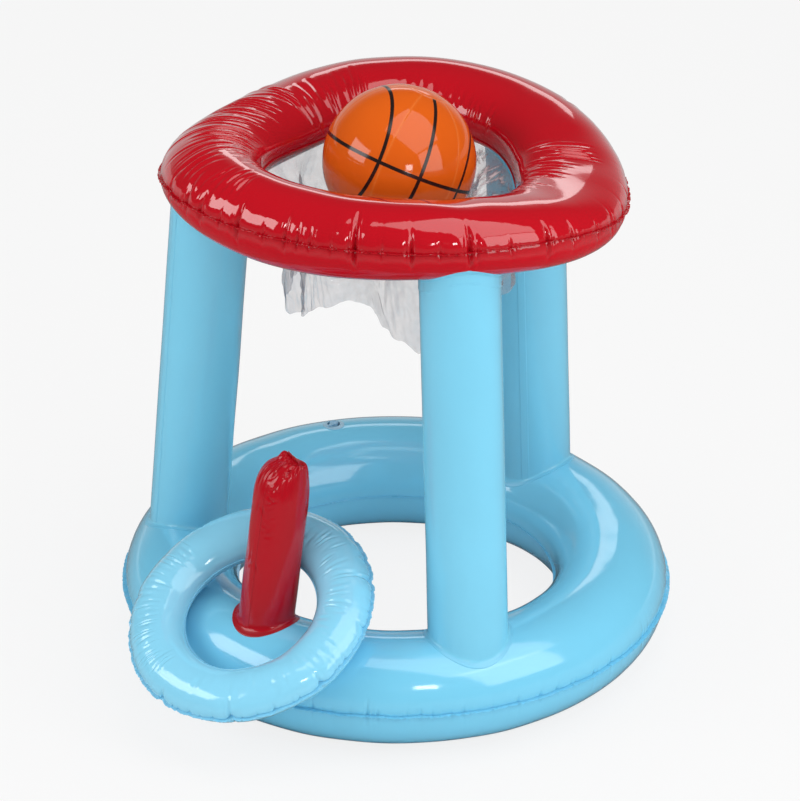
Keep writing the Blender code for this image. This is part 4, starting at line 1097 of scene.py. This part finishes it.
def pegSkin():
    shape = pegShape
    outwards, lean = flatDirection(shape["angle"]), math.radians(shape["lean"])
    axis = -outwards * math.sin(lean) + Vector((0, 0, math.cos(lean)))
    foot = linePoint(floatRing, shape["angle"], -shape["setBack"]) + Vector((0, 0, floatRing["tubeHeight"] / 2))
    matrix = axesAt(foot, axis, outwards)
    radius, film, tipHalf = shape["radius"], shape["film"], shape["tipHalf"]
    turns = tubeTurns(shape, shape["lapSide"])
    strip, lapLine = lapStrip(shape, turns, shape["lapSide"])
    heights = endHeights(shape, shape["footRows"], floatRing, matrix, turns, *shape["footSpan"])
    neck = shape["length"] - shape["tipWeld"]
    shoulder = neck - shape["taper"]
    for share in np.arange(1, shape["spanRows"] + 1) / shape["spanRows"]:
        heights.append(heights[len(shape["footRows"]) - 1] * (1 - share) + shoulder * share)
    longs, shorts = [radius] * len(heights), [radius] * len(heights)
    for share in np.arange(1, shape["taperRows"] + 1) / shape["taperRows"]:
        angle = math.pi / 2 * share
        heights.append(np.full_like(turns, shoulder + shape["taper"] * math.sin(angle)))
        longs.append(tipHalf + (radius - tipHalf) * math.cos(angle) ** shape["longPower"])
        shorts.append(max(radius * math.cos(angle) ** shape["shortPower"], film))
    welded = len(heights)
    for share in shape["tipRows"]:
        heights.append(np.full_like(turns, neck + share * shape["tipWeld"]))
        longs.append(tipHalf + shape["tipEdge"])
        shorts.append(film)
    heights, longs, shorts = np.array(heights), np.array(longs)[:, None], np.array(shorts)[:, None]
    out = np.zeros((len(heights), 1))
    out[:len(shape["footRows"]), 0] = [row[0] * mm for row in shape["footRows"]]
    rowHeights = heights.mean(1)
    ramp, tipRamp, slopeRamp = shape["ramp"], shape["tipRamp"], shape["slopeRamp"]
    body = easeStep((neck + ramp - rowHeights) / tipRamp)[:, None] * easeStep((ramp - out) / ramp)
    upwards = heights / shape["length"] * math.pi
    push = slowWaves(turns[None, :], upwards, shape["swellSeed"], *shape["swellTurns"]) * shape["swell"]
    folds = drawCreases(random.Random(shape["foldSeed"]), shape["folds"])
    push -= pressCreases(folds, turns, rowHeights, radius)
    lapEnd, lapRamp = shape["lapEnd"]
    push += strip[None, :] * easeStep((shoulder + lapEnd - rowHeights) / lapRamp)[:, None]
    normalX, normalY = np.cos(turns) / shorts, np.sin(turns) / longs
    push = (push * body + out) / np.hypot(normalX, normalY)
    x = shorts * np.cos(turns) + normalX * push
    y = longs * np.sin(turns) + normalY * push

    # the tip: a flat weld that waves, slopes and leans to one side
    weldShare, slopeShare = (easeStep((rowHeights - neck + slopeRamp) / over)[:, None]
                             for over in (tipRamp, slopeRamp))
    x = x + sum(np.sin(y * turn + start) * size for turn, start, size in shape["tipWaves"]) * weldShare
    turn, start, size = shape["tipRise"]
    heights = heights + np.sin(y * turn + start) * size * weldShare - shape["tipSlope"] * y * slopeShare
    aside = np.clip((rowHeights - shoulder) / shape["taper"], 0, 1)[:, None] ** shape["asidePower"]
    y = y + shape["tipAside"] * aside
    points = np.stack([x, y, heights], -1)
    weld = np.zeros_like(heights)
    weld[:shape["footWeld"]] = weld[welded:] = 1
    weld = np.maximum(weld, lapLine[None, :] * lapForm["weld"] * body)
    tips = [[0, 0, shape["lowTip"]], points[-1].mean(0)]
    skin = addTube("pegSkin", points, tips, weld, (0, 1), matrix)
    finish(skin, redPeg, "float", "red_vinyl", "peg")


pegSkin()
print("peg made")

# the toss ring

tossRing = {
    "radius": 0.1046, "height": 0.0, "tubeWidth": 0.0606, "tubeHeight": 0.0452, "weldWidth": 0.0026,
    "film": 0.0003, "pinch": 0.0012, "pinchReach": 0.0040, "rowSpacing": 0.0032, "columnSpacing": 0.0015,
    "seamWave": (0.02, 0.07), "seamRise": 0.0006, "seamReach": 0.007, "ripple": (0.004, 0.012),
    "rippleRise": 0.0005, "scallop": 0.0005, "notch": 1.5, "swell": 0.0009,
    "swellTurns": ((4, 19), (1, 3)), "seed": 7, "onFloor": False, "tip": 28.5, "outwards": -135.0, **evenRing,
    "deep": ((-74.5, 30, 14, 1.6), (-60, 14, 9, 0.8), (-44, 12, 10, 0.8), (-12.7, 20, 16, 1.6), (4, 12, 9, 0.7),
             (25, 30, 20, 1.5), (46, 12, 8, 0.8), (70, 20, 14, 1.4), (86, 12, 8, 0.8), (104, 14, 9, 0.8),
             (129.7, 34, 16, 1.7), (142, 18, 8, 0.9), (156, 16, 8, 0.8), (172, 12, 9, 0.8), (-165, 18, 12, 1.0),
             (-146, 14, 10, 0.9), (-122, 22, 12, 1.1), (-100, 16, 10, 0.9), (-87, 14, 8, 0.8)),
    "puckerWidth": 1.5, "puckers": (43, 60, (3, 10), (.9, 1.6), (.2, .7)),
    "wrinkles": ((51, -110, -20, (24, 42), (4, 9), 115, (10, 20), (.3, .8), 0),
                 (52, 95, 175, (30, 52), (4, 10), 105, (10, 18), (.3, .8), 0, 3),
                 (53, 5, 92, (28, 46), (7, 16), 110, (8, 16), (.2, .5), 0)),
}

tossOut = flatDirection(tossRing["outwards"])
tossTip = math.radians(tossRing["tip"])
tossAxis = tossOut * math.sin(tossTip) + Vector((0, 0, math.cos(tossTip)))
tossPlace = axesAt(middleOf("toss_ring_upper_film", "toss_ring_lower_film"), tossAxis, tossOut)
makeRing("toss_ring", "tossRingSkin", tossRing, blueToss, "toss_ring", "blue_vinyl", tossPlace)
print("toss ring made")

# the ball

ballShape = {
    "diameter": 0.1640, "gores": 6, "discDiameter": 0.0500, "tilt": 29.3, "tiltSide": 30.5, "facing": -88.8,
    "columns": 150, "rows": 96, "seamDepth": 0.00022, "seamWidth": 0.0009, "swell": 0.00018, "flat": 0.0005,
    "besideDisc": (-2.2, -1.1, 0, 1.1, 2.2), "besideSeam": (-2.4, -1.5, -.8, 0, .8, 1.5, 2.4), "closest": 0.25,
    "start": 0.03, "discRamp": 0.02, "weldReach": 0.0013, "swellSeed": 77, "swellTurns": ((1, 6), (1, 5)),
}


def ballSkin(axes):
    # gores bulge a little between their welds, and a round disc closes each pole
    shape, radius = ballShape, ballShape["diameter"] / 2
    discEdge = shape["discDiameter"] / shape["diameter"]
    lengthways = np.linspace(shape["start"], math.pi - valveShape["holeRadius"] / radius, shape["rows"])
    beside = np.array(shape["besideDisc"]) * mm / radius
    lengthways = np.sort(np.concatenate([lengthways, discEdge + beside, math.pi - discEdge + beside]))[:, None]
    seams = math.pi / shape["gores"] + np.arange(shape["gores"]) * math.tau / shape["gores"]
    near = np.array(shape["besideSeam"]) * mm / radius
    turns = np.concatenate([np.arange(shape["columns"]) * math.tau / shape["columns"],
                            (seams[:, None] + near[None, :]).ravel()])
    turns = spacedTurns(turns, shape["closest"] * mm / radius)[None, :]
    fromSeam = np.min([np.abs(shortWay(turns, seam)) for seam in seams], axis=0)
    arc = fromSeam * np.sin(lengthways) * radius
    onGore = easeStep((np.sin(lengthways) - math.sin(discEdge)) / shape["discRamp"])
    fromDisc = np.minimum(np.abs(lengthways - discEdge), np.abs(math.pi - discEdge - lengthways)) * radius
    groove, weld = (np.maximum(np.exp(-(arc / width) ** 2) * onGore, np.exp(-(fromDisc / width) ** 2))
                    for width in (shape["seamWidth"], shape["weldReach"]))
    bulge = np.cos(turns * shape["gores"]) * np.sin(lengthways) ** 2 * shape["flat"]
    swell = slowWaves(turns, lengthways * 2, shape["swellSeed"], *shape["swellTurns"]) * shape["swell"]
    shell = radius - shape["flat"] + bulge + swell - shape["seamDepth"] * groove
    points = roundAxis(shell * np.sin(lengthways), turns, shell * np.cos(lengthways))
    return addTube("ballSkin", points, [[0, 0, shell[0].mean()]], weld, [0], axes)


goreNodes = [f"ball_gore_{number}" for number in range(1, ballShape["gores"] + 1)]
ballNodes = goreNodes + ["ball_top_disc", "ball_bottom_disc"]
ballAxis = skyDirection(ballShape["tiltSide"], 90 - ballShape["tilt"])
ballAxes = axesAt(middleOf(*ballNodes), ballAxis, flatDirection(ballShape["facing"]))
ball = ballSkin(ballAxes)
finish(ball, ballMaterial(ballAxes), "ball", "orange_vinyl", *ballNodes)


def seatOnBall(x, y):
    radius = ballShape["diameter"] / 2 - ballShape["flat"]
    return np.sqrt(np.maximum(radius ** 2 - x ** 2 - y ** 2, 0)) - ballShape["diameter"] / 2


valveSet("ball", "ball", valveAxes("ball"), seatOnBall)
print("ball made")

# the net

netShape = {
    "folds": 8, "deepness": (.98, .90, .90, .12, .15, .80, .95, .95),  # the share of each fold's depth
    "length": 0.135, "inset": 0.0059, "hemInset": 0.0119, "depth": 0.061, "hemDepth": 0.030, "sharpness": 1.4,
    "narrowAt": 0.042, "film": 0.00025, "columns": 800, "rows": 72, "rowPower": 0.9, "seed": 17, "shift": 5,
    "twist": (2, 1.3), "weldDrop": 0.0022, "radius": 0.110, "ribs": ((23, 5, 1.0), (41, -9, 0)), "ribMean": 1.27,
    "ribDepth": 0.0013, "hemWaves": ((17, 0.6, 0.0022), (31, 2, 0.0015)), "hemBlur": 19,
    "crumple": 0.0034, "facet": 0.017, "glintDepth": 0.0022, "glintFrom": 0.18,
    "hem": ((-180, .394), (-171, .402), (-162, .411), (-153, .419), (-144, .433), (-135, .446), (-126, .452),
            (-118, .441), (-112, .434), (-108, .421), (-103, .410), (-98, .413), (-93, .411), (-88, .401),
            (-76, .404), (-62, .414), (-40, .424), (-26, .410), (-18, .400), (-10, .413), (0, .424), (25, .426),
            (60, .414), (95, .424), (130, .415), (160, .412), (180, .394)),  # the hem's height round the net
}
netShape["creases"] = [crease(*fold, peaked=False) for fold in (
    (-109, 110, 36, 36, 3.4, 5.2, 44, 4), (-116, 104, 30, 30, 3.0, -4.0, 46, 3), (-128, 86, 26, 18, 3.0, 4.2, 62, 3),
    (-119, 82, 12, 10, 2.2, 4.6, 30), (-114, 80, 12, 10, 2.2, 4.0, 12), (-12, 118, 30, 24, 3.0, 6.0, -24, 3),
    (-5, 112, 24, 20, 2.6, 4.5, -14, 2), (-172, 90, 30, 30, 3.2, 3.6, 20, 4),
)]
netShape["creases"] += wrinklePatch(73, 158, 216, (20, 80), (4, 9), 110, (8, 18), (1.2, 2.6), -20, 5, 0.32)
netShape["creases"] += wrinklePatch(71, -180, 180, (35, 125), (6, 16), 110, (12, 30), (.8, 2.2), 0, 6, 0.25)
# the crinkles that get a painted white highlight
netShape["sharp"] = wrinklePatch(72, 2, 64, (10, 52), (3, 6), 110, (8, 19), (2, 4.2), 48, 5)
netShape["sharp"] += wrinklePatch(74, 6, 62, (10, 48), (4, 7.5), 110, (7, 14), (2, 4), -52, 4)
netShape["sharp"] += wrinklePatch(75, -26, 4, (30, 90), (4, 8), 110, (8, 18), (1.6, 3.4), 30, 4, 0.22)


def foldField(turns, fall, ease):
    # the gathered folds, each a little out of its even place and with its own depth
    shape, degrees = netShape, np.degrees(turns)
    chance = random.Random(shape["seed"])
    shift, deepness = np.zeros_like(turns), np.ones_like(turns)
    span = 180 / shape["folds"]
    for number, deep in enumerate(shape["deepness"]):
        away = np.abs(np.remainder(degrees - span * (2 * number + 1) + 180, 360) - 180)
        share = np.clip(1 - away / span, 0, 1)
        shift += share * chance.uniform(-shape["shift"], shape["shift"])
        deepness -= share * (1 - deep)
    turn, start = shape["twist"]
    twist = np.radians(shift + shape["shift"] * np.sin(turn * turns + start) * fall)
    return ((1 - np.cos(shape["folds"] * (turns + twist * ease))) / 2) ** shape["sharpness"] * deepness


def hemLine(turns):
    places, heights = (np.array(values, float) for values in zip(*netShape["hem"]))
    hem = np.interp(np.remainder(np.degrees(turns) + 180, 360) - 180, places, heights)
    kernel, half = np.hanning(netShape["hemBlur"]), netShape["hemBlur"] // 2
    return np.convolve(np.concatenate([hem[-half:], hem, hem[:half]]), kernel / kernel.sum(), 'valid')


def netSkin():
    shape = netShape
    turns = np.arange(shape["columns"]) / shape["columns"] * math.tau
    weldEdge, height = innerWeld(hoopRing, np.degrees(turns))
    holeEdge = hoopRing["radius"] - hoopRing["tubeWidth"] / 2 - hoopRing["weldWidth"]
    start = height - shape["weldDrop"]
    below = np.linspace(0, 1, shape["rows"])[:, None] ** shape["rowPower"] * (start - hemLine(turns))
    fall = below / shape["length"]
    ease = easeStep(below / shape["narrowAt"])
    lower = easeStep((below - shape["narrowAt"]) / (shape["length"] - shape["narrowAt"]))
    deep = np.where(below < shape["narrowAt"], shape["depth"] * np.sin(math.pi / 2 * ease),
                    shape["depth"] + (shape["hemDepth"] - shape["depth"]) * lower)
    fold = foldField(turns, fall, ease)
    skirt = holeEdge - shape["inset"] - (shape["hemInset"] - shape["inset"]) * fall
    reach = weldEdge + (skirt - weldEdge) * ease - deep * fold
    ribs = sum(np.abs(np.sin(turns * count + slant * fall + begin)) for count, slant, begin in shape["ribs"])
    reach = reach - (ribs - shape["ribMean"]) * ease * shape["ribDepth"]
    z = start - below + sum(size * np.sin(turns * count + begin) for count, begin, size in shape["hemWaves"]) * fall
    sharp = pressCreases(shape["sharp"], turns, below.mean(1), shape["radius"])
    reach = reach - pressCreases(shape["creases"], turns, below.mean(1), shape["radius"]) - sharp
    # the share of painted white highlight on the sharp crinkles, handed to the film's material as its fold mark
    paintedGlint = np.clip(np.abs(sharp) / shape["glintDepth"] - shape["glintFrom"], 0, 1)
    points = crumple(roundAxis(reach, turns, z), ease)
    normals = np.cross(np.roll(points, -1, 1) - np.roll(points, 1, 1), np.gradient(points, axis=0))
    normals *= shape["film"] / 2 / np.maximum(np.linalg.norm(normals, axis=-1, keepdims=True), 1e-9)
    both = np.concatenate([points + normals, (points - normals)[::-1]])
    marks = {"fold": np.concatenate([paintedGlint, paintedGlint[::-1]])}
    return addPiece("netSkirt", both, gridQuads(len(both), shape["columns"], wrapRows=True), marks=marks, sharp=70)


def crumple(points, ease):
    # sharp ridges between small flat facets, as film keeps after it was packed folded
    facets = bpy.data.textures.new("crumpleFacets", 'VORONOI')
    facets.distance_metric = 'DISTANCE'
    facets.noise_scale = netShape["facet"]
    facets.weight_1, facets.weight_2 = -1.0, 1.0
    flat = points.reshape(-1, 3)
    values = np.array([facets.evaluate(Vector(point))[3] for point in flat]).reshape(points.shape[:2])
    bpy.data.textures.remove(facets)
    outwards = points * np.array([1, 1, 0])
    outwards /= np.linalg.norm(outwards, axis=-1, keepdims=True)
    lift = (values - values.mean()) * netShape["crumple"] * 2 * ease
    return points + outwards * lift[..., None]


net = netSkin()
finish(net, clearFilm, "float", "clear_vinyl", "net_skirt")
print("net made")
